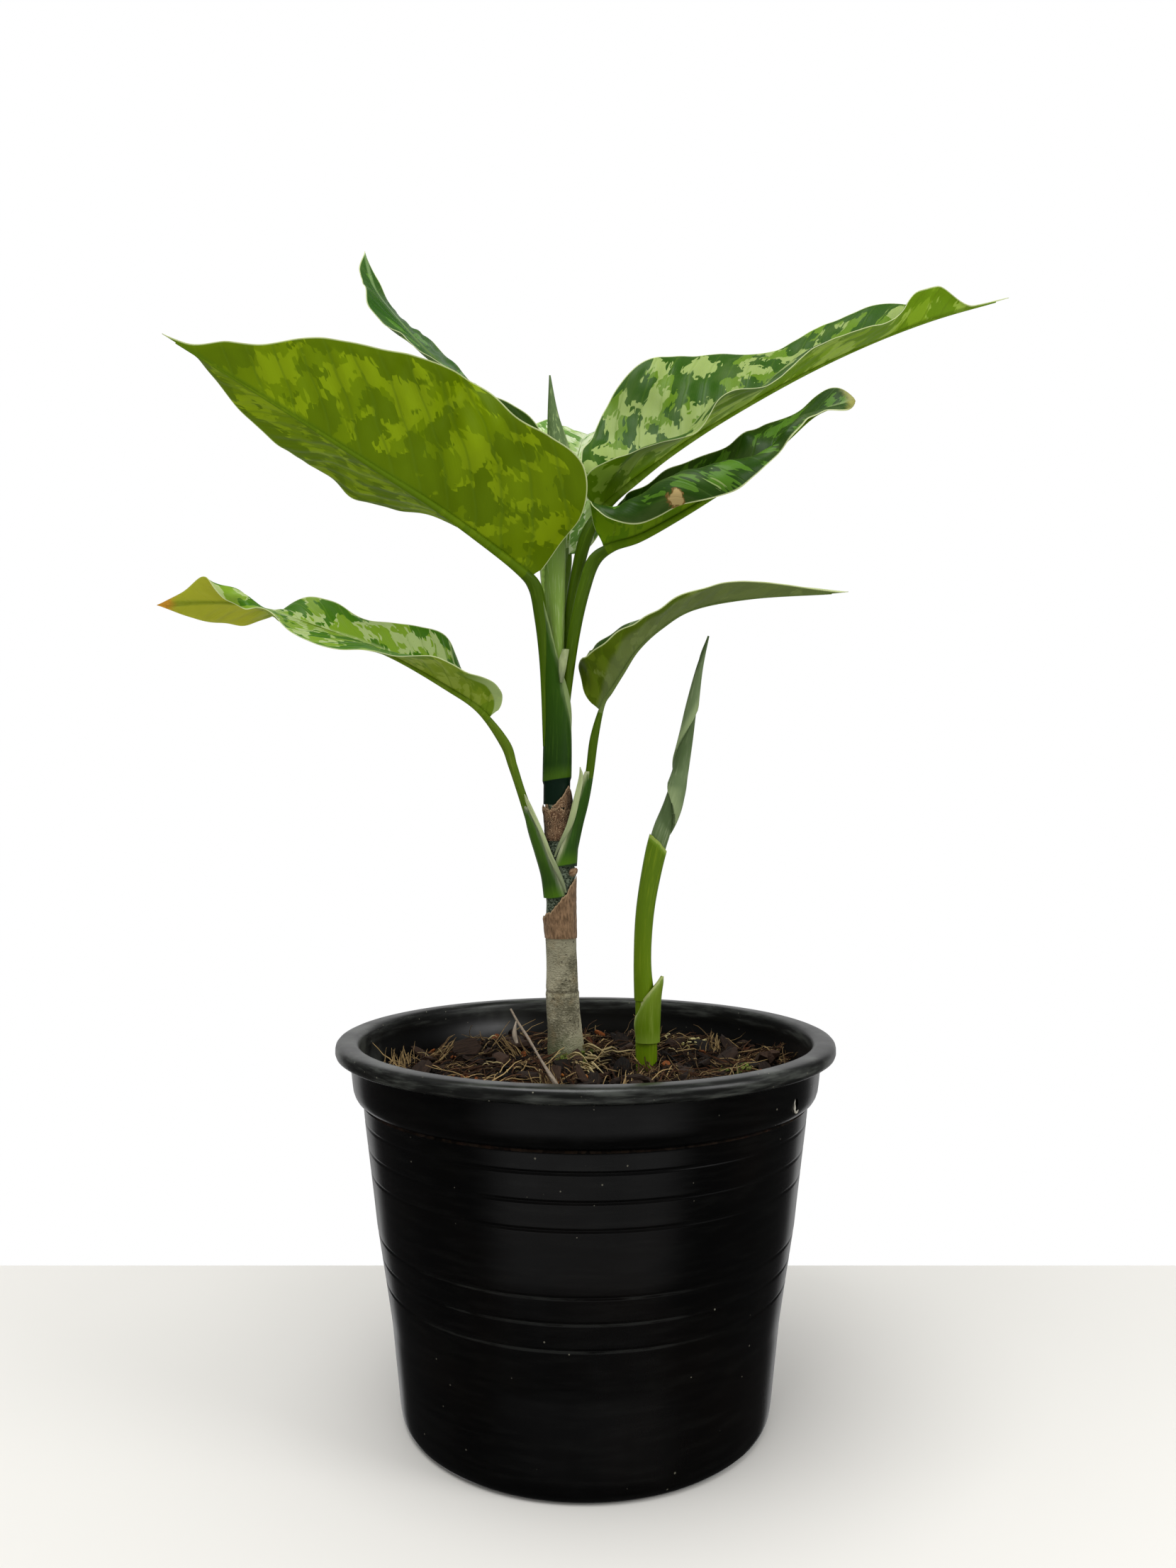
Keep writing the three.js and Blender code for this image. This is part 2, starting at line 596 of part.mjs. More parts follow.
// Bits of bark and coir on the soil, each sunk about half its depth
function soilCrumbs() {
  const random = seededRandom(CRUMBS.seed);
  const crumbs = [];
  const clear = [[FOOT_OF_CANE, 12], [FOOT_OF_SHOOT, 9], [STRAW.path[0], 6]];
  while (crumbs.length < CRUMBS.count) {
    const radius = CRUMBS.reach * Math.sqrt(random());
    const angle = 2 * Math.PI * random();
    const x = radius * Math.cos(angle);
    const y = radius * Math.sin(angle);
    const size = [4 + 8 * random(), 2 + 3 * random(), 2.4 + 1.6 * random()];
    const tilt = [CRUMBS.tilt * (random() - 0.5), CRUMBS.tilt * (random() - 0.5)];
    const turn = new THREE.Euler(...tilt, Math.PI * random());
    const free = clear.every(([[cx, cy], room]) => Math.hypot(x - cx, y - cy) >= room);
    const fibre = crumbs.length % 2 === 0;
    if (free) {
      const crumb = fibre
        ? new THREE.CylinderGeometry(0.7, 0.7, 10 + 14 * random(), 4).rotateZ(Math.PI / 2)
        : new THREE.BoxGeometry(...size);
      const matrix = new THREE.Matrix4().makeRotationFromEuler(turn);
      matrix.setPosition(x, y, soilHeight(x, y) + CRUMBS.sunk);
      crumb.applyMatrix4(matrix);
      crumb.computeBoundingSphere();
      const { center, radius: reach } = crumb.boundingSphere;
      if (Math.hypot(center.x, center.y) + reach < CRUMBS.limit) {
        crumbs.push(solidOf(crumb));
      }
    }
  }
  return crumbs;
}

// The heap with its crumbs, and a plain hole for each stem that stands in it
function soil() {
  const heap = soilCrumbs().reduce((whole, crumb) => whole.add(crumb), soilBody());
  const holes = [CANE, OFFSET_SHOOT, STRAW].map((stem) => solidOf(rod(stem, STEM_CLEARANCE)));
  const bored = holes.reduce((whole, hole) => whole.subtract(hole), heap);
  const bySize = bored.decompose().sort((a, b) => b.volume() - a.volume());
  return geometryFrom(bySize[0]);
}

// ---------------------------------------------------------------- the part

const part = new THREE.Group();

function add(name, geometry, color, roughness) {
  const mesh = new THREE.Mesh(geometry, new THREE.MeshStandardMaterial({ color, roughness, metalness: 0 }));
  mesh.name = name;
  part.add(mesh);
}

add('pot', pot(), COLOURS.pot, 0.35);
add('soil', soil(), COLOURS.soil, 0.95);
add('cane', geometryFrom(solidOf(rod(CANE, 0, scarSwell))), COLOURS.bark, 0.8);
for (const [name, ring] of Object.entries(DRY_SHEATHS)) {
  add(name, drySheath(ring), COLOURS.paper, 0.85);
}
for (const [name, leaf] of Object.entries(LEAVES)) {
  add(name, leafNode(leaf), COLOURS.leaf, 0.4);
}
add('leaf_new_rolled', geometryFrom(solidOf(rod(NEW_LEAF))), COLOURS.young, 0.5);
add('offset_shoot', geometryFrom(solidOf(rod(OFFSET_SHOOT))), COLOURS.young, 0.5);
add('offset_sheath', geometryFrom(solidOf(sheath(OFFSET_SHEATH))), COLOURS.young, 0.6);
add('straw', geometryFrom(solidOf(rod(STRAW))), COLOURS.straw, 0.8);

export default part;
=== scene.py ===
"""Potted chinese evergreen: the finish of every piece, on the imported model.

Numbers in the tables below are millimetres; MM turns them into metres when a mesh is made.
A "shell" is a closed surface: its points, its faces and the maps that its material reads.
"""
import math

import bpy
import numpy as np
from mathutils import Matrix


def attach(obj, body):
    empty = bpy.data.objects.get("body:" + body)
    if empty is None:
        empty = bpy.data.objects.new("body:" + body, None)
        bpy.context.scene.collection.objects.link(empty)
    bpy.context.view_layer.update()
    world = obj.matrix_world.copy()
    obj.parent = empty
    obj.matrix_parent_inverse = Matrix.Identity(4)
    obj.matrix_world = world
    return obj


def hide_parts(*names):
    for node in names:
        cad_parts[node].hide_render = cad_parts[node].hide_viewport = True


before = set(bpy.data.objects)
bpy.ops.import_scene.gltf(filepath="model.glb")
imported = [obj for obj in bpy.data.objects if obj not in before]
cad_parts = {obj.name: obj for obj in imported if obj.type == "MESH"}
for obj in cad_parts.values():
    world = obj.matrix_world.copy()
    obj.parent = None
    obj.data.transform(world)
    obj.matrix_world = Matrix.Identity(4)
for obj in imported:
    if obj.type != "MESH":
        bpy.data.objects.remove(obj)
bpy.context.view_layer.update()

MM = 0.001
TURN = 2 * math.pi
QUARTER = math.pi / 2

# ---------------------------------------------------------------- sizes shared with the solids

FLOOR = 1.8
GROOVE_DEPTH = 0.25
GROOVE_HALF_WIDTH = 0.7
GROOVE_HEIGHTS = (46.8, 54.9, 62.7, 82.4, 90.6, 99.1)
FOOT_OUTLINE = [(0, 0), (30, 0), (57.8, 0), (59.4, 0.12), (60.8, 0.6), (61.8, 1.6), (62.4, 3)]
BODY_OUTLINE = [(62.4, 3), (62.9, 6), (63.6, 13), (65.6, 32), (67.8, 46), (70.9, 65), (72.1, 75),
                (75.1, 98.6), (75.7, 104.4)]
COLLAR_OUTLINE = [(75.8, 105.1), (76.2, 105.7), (77.0, 106.2), (77.9, 106.9), (78.5, 107.9),
                  (79.0, 109.4), (79.3, 111.5), (79.7, 115), (80.1, 118.8), (80.3, 119.6), (81, 119.9)]
LIP_OUTLINE = [(82.6, 120), (84.0, 120.2), (84.7, 120.7), (85.0, 121.5), (85.0, 122.9), (84.8, 123.8),
               (84.2, 124.5), (83.3, 124.9), (82.2, 125.0), (79.6, 125.0), (78.5, 124.8), (77.7, 124.2),
               (77.3, 123.2)]
INSIDE_OUTLINE = [(77.2, 121), (76.9, 115.4), (76.3, 114.4), (76.2, 109.2), (75.9, 107.6),
                  (74.6, 106.6), (74.2, 105.4), (73.4, 98), (71.8, 84), (66.3, 46), (61.7, 9),
                  (60.6, 3), (59.4, FLOOR), (30, FLOOR), (0, FLOOR)]
DRAIN = {"count": 8, "radius": 4.5, "ring": 46}
HANGER_HOLE = {"radius": 1.35, "height": 111.3, "angle": -35.5, "from_axis": 79.45}

SOIL_TOP = 113
SOIL_LUMP = 0.8
SOIL_MOUND = 2.6
SOIL_MOUND_SPREAD = 16
SOIL_EDGE = 76.2
CANE_FOOT = (-6.9, 8)
SHOOT_FOOT = (20.5, -11)
STEM_ROOM = ((CANE_FOOT, 7.5), (SHOOT_FOOT, 5.0))
FIBRE_EDGE = 75.2

# Each leaf: midrib from base to tip; half width; outline powers and tail (see outline_share); then
# for each half the turn up (lift), the reach, the roll towards the margin (curl), the backward
# sweep at the base and the waves of the margin (height, count, start); the stalk with its radii
# and the height below which it is wrapped in its sheath; the sheath that clasps the stem and the
# thin tongues on it (see clasp and tongue).
LEAVES = {
    "leaf_front_left": dict(
        midrib=[(-18, -8, 283), (-44, -22, 300), (-70, -36, 314), (-95, -50, 327), (-126, -66, 343)],
        width=38, outline=(0.4, 1.3), tail=(0.94, 0.6),
        left=dict(lift=(80, 45, 45, 50, 45, 70, 65, 65, 55, 65, 65, 50, 55, 75), sweep=0.45,
                  wave=(1.5, 3.5, 0.1),
                  reach=(0.45, 1.1, 1.3, 1.15, 1.05, 1.05, 1.05, 1.05, 1.05, 1.1, 1.15, 1, 1.1, 1.3)),
        right=dict(lift=(10, 25, 20, 10, 5, 5, -5, -5, 0, 30), sweep=0.3, wave=(1.5, 3, 0.4),
                   reach=(0.6, 0.7, 1, 0.95, 1, 1.1, 0.9, 0.9, 1, 1.1)),
        stalk=[(-14.4, 3, 225), (-14.6, 2.4, 243), (-14.6, 1.2, 257), (-15.8, -1.8, 270), (-17.8, -6, 280)],
        radius=(0.8, 1.2, 2, 2.3, 2.4),
        sheath=dict(scar=214.9,
                    axis=[(-10.3, 5, 204.5), (-10.1, 5, 216), (-9.9, 4.9, 227), (-9.7, 4.8, 238),
                          (-10, 4.4, 248), (-10.8, 3.4, 258), (-13, 0.4, 268), (-15.2, -3.2, 277)],
                    inner=(4.5, 4.6, 4.6, 4.7, 4.9, 4.6, 3.2, 2.5),
                    spread=(179, 179, 168, 128, 90, 62, 58, 46),
                    facing=(205, 205, 205, 208, 212, 214, 216, 222)),
        tongues=[dict(path=[(-8.6, -0.9, 247), (-8.3, -1.5, 251), (-7.9, -1.9, 255), (-7, -2.2, 258.6)],
                      widths=(0.5, 1.2, 1.5, 1.2), facing=262, cup=0.9)]),
    "leaf_back_left": dict(
        midrib=[(-16, 10, 332), (-36, 24, 354), (-60, 38, 380), (-75, 48, 399), (-86, 54, 415),
                (-91, 60, 433)],
        width=30, outline=(0.4, 1.3),
        left=dict(lift=(50, 20, 5, 0, 5, 5, 15), reach=(0.9, 0.75, 0.8, 0.7, 0.75, 0.6, 0.9), sweep=0.3,
                  wave=(0.9, 2.5, 0.2)),
        right=dict(lift=(-20, -10, 0, -5, -5, -10, -50), reach=(0.4, 0.7, 0.9, 0.8, 0.8, 0.5, 0.6),
                   sweep=0.3, wave=(0.8, 3, 0.6)),
        stalk=[(-12.9, 5, 208.4), (-12.4, 5.1, 230), (-12, 5.7, 243), (-12.6, 8.8, 259), (-14.2, 11, 280),
               (-15, 10.8, 310)],
        radius=(1.3, 1.3, 1.4, 1.5, 1.8, 2)),
    "leaf_right_upper": dict(
        midrib=[(4, 8, 311), (20, 14, 326), (45, 22, 346), (88, 32, 373), (128, 38, 392), (167, 42, 405)],
        width=34, outline=(0.45, 1), tail=(0.905, 0.9),
        left=dict(lift=(110, 90, 55, 50, 65, 55, 35, 40, 50, 35, 20), sweep=0.3, wave=(1.5, 3, 0.3),
                  reach=(1.1, 0.8, 0.9, 1.05, 1.15, 1.05, 0.95, 1.05, 1.1, 0.95, 0.7)),
        right=dict(lift=(55, 30, 30, 10, 5, 0, 15, 5, 0, 60, 90, 60), sweep=0.3, wave=(3, 3, 0.15),
                   curl=(40, -25, -10, -15, -15, -20),
                   reach=(1.05, 0.95, 0.85, 1.1, 1.2, 1, 0.85, 0.85, 0.7, 0.7, 0.85, 0.75)),
        stalk=[(-8.2, 6.6, 208.4), (-7.7, 6.6, 230), (-7, 7.6, 252), (-6.2, 8, 270),
               (-3, 8.4, 289), (1, 8, 303)],
        radius=(1.3, 1.35, 1.7, 1.9, 2.2, 2.4)),
    "leaf_right_curled": dict(
        midrib=[(6, 2, 296), (20, -4, 299), (40, -10, 309), (61, -16, 321), (75, -20, 334), (90, -24, 339)],
        width=24, outline=(0.35, 0.8),
        left=dict(lift=(55, 55, 60, 60, 60, 60, 70, 45, 35, 50, 70), sweep=0.3, wave=(1, 3, 0.1),
                  reach=(1, 1.2, 1.15, 1, 0.9, 0.8, 0.7, 0.95, 0.95, 1.4, 1.6)),
        right=dict(lift=(90, 75, 70, 50, 35, 20, 25, -5, -45), sweep=0.3, wave=(1.2, 4, 0.3),
                   curl=(10, -115, -200, -170, -160, -110, -120, -35, -80),
                   reach=(1.2, 1.2, 1.25, 1.5, 1.15, 0.6, 0.55, 0.45, 1.15)),
        stalk=[(-8.2, 3.5, 208.4), (-7.6, 3.4, 232), (-6.1, 2.4, 250), (-3.8, 1.6, 267), (-0.6, 1.6, 281),
               (3, 2, 291)],
        radius=(1.3, 1.35, 1.8, 2.2, 2.3, 2.4)),
    "leaf_right_low": dict(
        midrib=[(4.5, 2, 238), (10.5, -3, 247), (21, -9, 261), (42, -16, 272), (87, -26, 274)],
        width=20, outline=(0.4, 1.3),
        left=dict(lift=(75, 75, 65, 50, 35, 30, 40, 60), sweep=0.1, wave=(0.8, 3, 0.2),
                  reach=(1, 1.2, 1.25, 1.15, 1.05, 1.2, 1.4, 1.4)),
        right=dict(lift=(85, 90, 65, 30, 10, 12, 22, 30), sweep=0.1, wave=(0.6, 3, 0.7),
                   reach=(0.9, 1.05, 0.7, 0.6, 0.7, 1.1, 1.4, 1.3)),
        stalk=[(-4, 5, 187), (-2.6, 4.6, 197), (-0.4, 4, 206), (1.4, 3, 216), (3, 1.8, 228)],
        radius=(0.9, 1.6, 1.6, 1.5, 1.5), wrapped=213,
        sheath=dict(axis=[(-9, 5.6, 182.6), (-8.4, 5.4, 193), (-5.6, 5, 205), (-1.4, 4, 216)],
                    inner=(5.2, 5.5, 5.5, 3.3), spread=(115, 82, 78, 72), facing=(0, 0, 0, 0)),
        tongues=[dict(path=[(-10.9, 0.2, 186), (-9.3, -0.4, 190), (-5.6, -0.8, 197.3), (-3.4, -0.7, 205.6),
                            (-1.7, -0.2, 213.8), (-2, 0, 217.5)],
                      widths=(0.35, 0.6, 1.1, 1.1, 0.8, 0.15), facing=270, cup=0.4)]),
    "leaf_left_low": dict(
        midrib=[(-33, -2, 235), (-46, -8, 244), (-68, -15, 256), (-89, -20, 263), (-107, -24, 269),
                (-123, -27, 270.4), (-140, -30, 268.8)],
        width=24, outline=(0.4, 1.3),
        left=dict(lift=(70, 45, 20, 5, -10, -15, -20, -20, -10, 60, 35, 55, 80), sweep=0.3,
                  wave=(1, 3, 0.5), curl=(0, 0, 0, 0, 0, 0, 0, 0, 0, -200, -20, 0, 0),
                  reach=(0.7, 0.7, 0.75, 0.8, 0.9, 1.1, 1.2, 1, 0.8, 1.1, 1.5, 0.95, 1.2)),
        right=dict(lift=(35, 30, 60, 50, 5, -30, -65), reach=(1, 1.4, 0.6, 0.6, 0.85, 1.45, 1.2),
                   sweep=0.2, wave=(3, 3.3, 0.45)),
        stalk=[(-13.4, 5, 175), (-16.4, 5, 187), (-20, 5, 200), (-23.1, 4, 209.5), (-25.8, 3, 218),
               (-28.6, 1, 226)],
        radius=(0.9, 1.6, 1.7, 1.5, 1.6, 1.8), wrapped=201,
        sheath=dict(axis=[(-9.1, 6.3, 171.4), (-10, 6, 179), (-12.3, 5.5, 187), (-15.3, 5.2, 195),
                          (-18.8, 5, 204)],
                    inner=(5.2, 5.3, 5.2, 4.6, 3), spread=(112, 98, 88, 88, 74),
                    facing=(180, 180, 180, 180, 180)),
        tongues=[dict(path=[(-7, 0.9, 173.5), (-9, 0.3, 179), (-12.6, 0, 187), (-15.7, 0.3, 195),
                            (-19.9, 1.4, 204), (-21.6, 2.2, 208)],
                      widths=(0.4, 0.9, 0.85, 0.8, 0.8, 0.2), facing=268, cup=0.3)]),
    "leaf_back": dict(
        midrib=[(-7, 20, 297), (-5, 34, 328), (-2, 53, 350), (1, 76, 362), (3, 100, 364)],
        width=25, outline=(0.4, 1.3),
        left=dict(lift=(30, 25, 20, 15, 10), reach=(1, 1), sweep=0.3, wave=(2, 3, 0.2)),
        right=dict(lift=(30, 25, 20, 15, 10), reach=(1, 1), sweep=0.3, wave=(2, 3, 0.7)),
        stalk=[(-11.1, 7.5, 208.4), (-10.8, 7.5, 230), (-10.2, 8.2, 243), (-9.5, 11.2, 258),
               (-8.6, 15.4, 281), (-7.2, 19.6, 293)],
        radius=(1.3, 1.3, 1.4, 1.5, 1.7, 1.9)),
}

NEW_LEAF = dict(
    path=[(-11.1, 2.5, 208.4), (-10.6, 2.5, 230), (-10, 3.4, 250), (-10.9, 4.2, 272), (-11.6, 5, 293),
          (-11, 5.5, 314), (-10, 5.8, 329), (-12, 5.6, 345), (-13, 5.2, 359)],
    radius=(1.3, 1.3, 2, 3.4, 4.6, 4.8, 4.2, 1.9, 0.3))
OFFSET_SHOOT = dict(
    path=[(20.2, -11, 98), (20.5, -11, 118), (20.2, -11, 134), (19.2, -11.4, 150), (19.9, -11.5, 166),
          (22.1, -11, 180), (25.2, -11, 193), (29.4, -11, 204), (32, -10.8, 215), (34.4, -10.5, 227),
          (36.5, -10, 239), (39, -10, 251), (42.2, -10, 262)],
    radius=(2.6, 3.6, 3.4, 2.6, 2.6, 2.8, 3.1, 3.3, 2.9, 2.5, 2, 1.2, 0.3))
OFFSET_SHEATH = dict(axis=[(20.6, -11, 124), (20.7, -11, 131), (21.3, -11.1, 139), (22.6, -11.3, 146)],
                     inner=(3.8, 3.9, 3.7, 3.4), spread=(179, 179, 112, 34), facing=(0, 0, -5, -10))
CANE = dict(
    path=[(-6.4, 8, 96), (-6.6, 8, 106), (-6.9, 8, 116), (-7.6, 8, 126), (-8.3, 8, 136),
          (-8.5, 7.7, 146), (-8.8, 7.2, 156), (-9, 6.5, 166), (-9.3, 6, 176), (-9.7, 5.5, 188),
          (-10, 5.2, 199), (-10.3, 5, 208)],
    radius=(6.4, 6.9, 6.6, 6, 5.9, 5.5, 5.4, 5, 4.7, 4.4, 4.3, 4.25))
SHOOT_BLADE_FOOT = 189
SCAR_HEIGHTS = (137.5, 157, 170.5, 184, 196)
NODE_HEIGHT = 180.3
NODE_SWELLING = 0.36
STRAW = dict(
    path=[(-3.6, -53, 109), (-5.5, -50.5, 113), (-9, -46, 117.5), (-13.5, -40, 123), (-18.5, -33, 129.5),
          (-21.8, -29, 133.5), (-24.4, -25.6, 137.2)],
    radius=(0.35, 0.6, 0.85, 0.4, 0.45, 0.38, 0.32))


# ---------------------------------------------------------------- curves

def spline(points, t):
    """Smooth curve through the points, read at t from 0 to 1: each span is the cubic whose slopes
    at its ends are half the step between the two neighbouring points."""
    given = np.asarray(points, float)
    flat = given.reshape(len(given), -1)
    ends = np.vstack([2 * flat[0] - flat[1], flat, 2 * flat[-1] - flat[-2]])
    place = np.asarray(t, float).ravel() * (len(flat) - 1)
    first = np.clip(np.floor(place).astype(int), 0, len(flat) - 2)
    x = (place - first)[:, None]
    before, start, end, after = (ends[first + k] for k in range(4))
    slope_in, slope_out = (end - before) / 2, (after - start) / 2
    cubic = (start + slope_in * x + (3 * (end - start) - 2 * slope_in - slope_out) * x ** 2
             + (2 * (start - end) + slope_in + slope_out) * x ** 3)
    return cubic.reshape(np.shape(t) + given.shape[1:])


def unit(vectors):
    """The vectors with length 1."""
    return vectors / np.maximum(np.linalg.norm(vectors, axis=-1, keepdims=True), 1e-9)


def direction(points, t, step):
    """Direction of the curve at t, taken over a step to either side."""
    return unit(spline(points, np.minimum(t + step, 1)) - spline(points, np.maximum(t - step, 0)))


def run_of(places):
    """Length of a chain of places up to each of them."""
    return np.concatenate([[0], np.cumsum(np.linalg.norm(np.diff(places, axis=0), axis=1))])


def polar(radius, angle, z=0.0):
    """Points at a radius and an angle round the upright axis, z up."""
    return np.stack(np.broadcast_arrays(radius * np.cos(angle), radius * np.sin(angle), z), -1)


def smooth_step(x, low, high):
    """0 below low, 1 above high, and 3x^2 - 2x^3 between them."""
    x = np.clip((x - low) / (high - low), 0, 1)
    return x * x * (3 - 2 * x)


def rough(points, size, seed, octaves=4):
    """Seeded roughness from about -1 to 1: sines along random directions, whose wavelength starts
    at size and halves, with their height, in each octave."""
    draw = np.random.default_rng(seed)
    total = np.zeros(points.shape[:-1])
    for octave in range(octaves):
        directions = unit(draw.normal(size=(6, points.shape[-1])))
        phases = draw.uniform(0, TURN, 6)
        waves = points @ directions.T * (TURN * 2 ** octave / size) + phases
        total += np.sin(waves).sum(-1) / 4 / 1.8 ** octave
    return total


# ---------------------------------------------------------------- shells

def grid_shares(rows, columns):
    """A column of shares from 0 to 1 and a row of shares from -1 to 1."""
    return np.linspace(0, 1, rows)[:, None], np.linspace(-1, 1, columns)[None]


def grid_faces(rows, columns, start=0, closed=False, back=False):
    """Four-sided faces of a grid of points; a closed one wraps from its last column to its first."""
    index = start + np.arange(rows * columns).reshape(rows, columns)
    after = np.roll(index, -1, axis=1)
    keep = columns if closed else columns - 1
    here, there = index[:, :keep], after[:, :keep]
    quads = np.stack([here[:-1], there[:-1], there[1:], here[1:]], -1).reshape(-1, 4)
    return quads[:, ::-1] if back else quads


def wall(face, back, maps, slots=(0, 1)):
    """Closed wall between two grids of points, joined along their border. The face's outward side
    is (next column) x (next row)."""
    rows, columns = face.shape[:2]
    count = rows * columns
    index = np.arange(count).reshape(rows, columns)
    border = np.concatenate([index[0, :-1], index[:-1, -1], index[-1, :0:-1], index[:0:-1, 0]])
    after = np.roll(border, -1)
    rim = np.stack([after, border, border + count, after + count], -1)
    front = grid_faces(rows, columns)
    rear = grid_faces(rows, columns, count, back=True)
    painted = np.repeat([slots[0], slots[1], slots[0]], [len(front), len(rear), len(rim)])
    both = {key: np.concatenate([value.reshape(count, -1)] * 2) for key, value in maps.items()}
    return dict(points=np.concatenate([face.reshape(-1, 3), back.reshape(-1, 3)]),
                quads=np.concatenate([front, rear, rim]), painted=painted, maps=both)


def capped(rings, sides):
    """Faces of a tube of rings, and of the two fans that close its ends. The poles of the fans come
    after the points of the rings."""
    k = np.arange(sides)
    after = (k + 1) % sides
    last, pole = (rings - 1) * sides, np.full(sides, rings * sides)
    fans = np.concatenate([np.stack([pole, after, k], -1),
                           np.stack([pole + 1, last + k, last + after], -1)])
    return grid_faces(rings, sides, closed=True), fans


def tube(path, radii, sides, steps, shape=None, maps=None):
    """Rod along a curve, closed at both ends: ring k has the radius read from the list there,
    times shape(t, angle), kept as its "swell" map. Its "stem" map is the rod made straight:
    (r cos, r sin, length)."""
    t = np.linspace(0, 1, steps + 1)
    centre = spline(path, t)
    along = direction(path, t, 1e-3)[:, None]
    across = unit(np.cross([0, 1, 0.02], along))
    other = np.cross(along, across)
    angle = np.arange(sides) * TURN / sides
    swell = (shape(t[:, None], angle[None]) if shape else 1) * np.ones((len(t), sides))
    radius = spline(radii, t)[:, None] * swell
    length = run_of(centre)
    straight = polar(radius, angle, length[:, None])
    ring = straight[..., :1] * across + straight[..., 1:2] * other
    points = np.concatenate([(centre[:, None] + ring).reshape(-1, 3), centre[[0, -1]]])
    stem = np.concatenate([straight.reshape(-1, 3), [[0, 0, 0], [0, 0, length[-1]]]])
    share = np.concatenate([np.repeat(t, sides), [0, 1]])
    extra = {key: np.full((len(points), 1), value, float) for key, value in (maps or {}).items()}
    extra["swell"] = np.append(swell.ravel(), [1, 1])[:, None]
    quads, tris = capped(len(t), sides)
    return dict(points=points, quads=quads, tris=tris, painted=np.zeros(len(quads) + len(tris)),
                maps={"stem": stem, "along": share[:, None], **extra})


def make(name, shells, materials, node=None, crease=50):
    """One object from shells: it rides on the root, takes its finish from the slot, and replaces
    the solid with the node's name. Edges sharper than the crease angle stay sharp."""
    points, faces, painted, start = [], [], [], 0
    for shell in shells:
        points.append(shell["points"])
        faces += (shell["quads"] + start).tolist()
        if "tris" in shell:
            faces += (shell["tris"] + start).tolist()
        painted.append(shell["painted"])
        start += len(shell["points"])
    mesh = bpy.data.meshes.new(name)
    mesh.from_pydata((np.concatenate(points) * MM).tolist(), [], faces)
    for material in materials:
        mesh.materials.append(material)
    mesh.polygons.foreach_set("material_index", np.concatenate(painted).astype(np.int32))
    mesh.polygons.foreach_set("use_smooth", np.ones(len(mesh.polygons), dtype=bool))
    for key in sorted({key for shell in shells for key in shell["maps"]}):
        size = 3 if key in ("leaf", "stem") else 1
        values = []
        for shell in shells:
            given = shell["maps"].get(key, np.zeros((len(shell["points"]), size)))
            values.append(np.asarray(given, float).reshape(-1, size))
        layer = mesh.attributes.new(key, "FLOAT_VECTOR" if size == 3 else "FLOAT", "POINT")
        layer.data.foreach_set("vector" if size == 3 else "value", np.concatenate(values).ravel())
    mesh.set_sharp_from_angle(angle=math.radians(crease))
    mesh.validate()
    mesh.update()
    piece = bpy.data.objects.new(name, mesh)
    bpy.context.collection.objects.link(piece)
    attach(piece, "root")
    if node:
        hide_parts(node)
    return piece


# ---------------------------------------------------------------- node trees

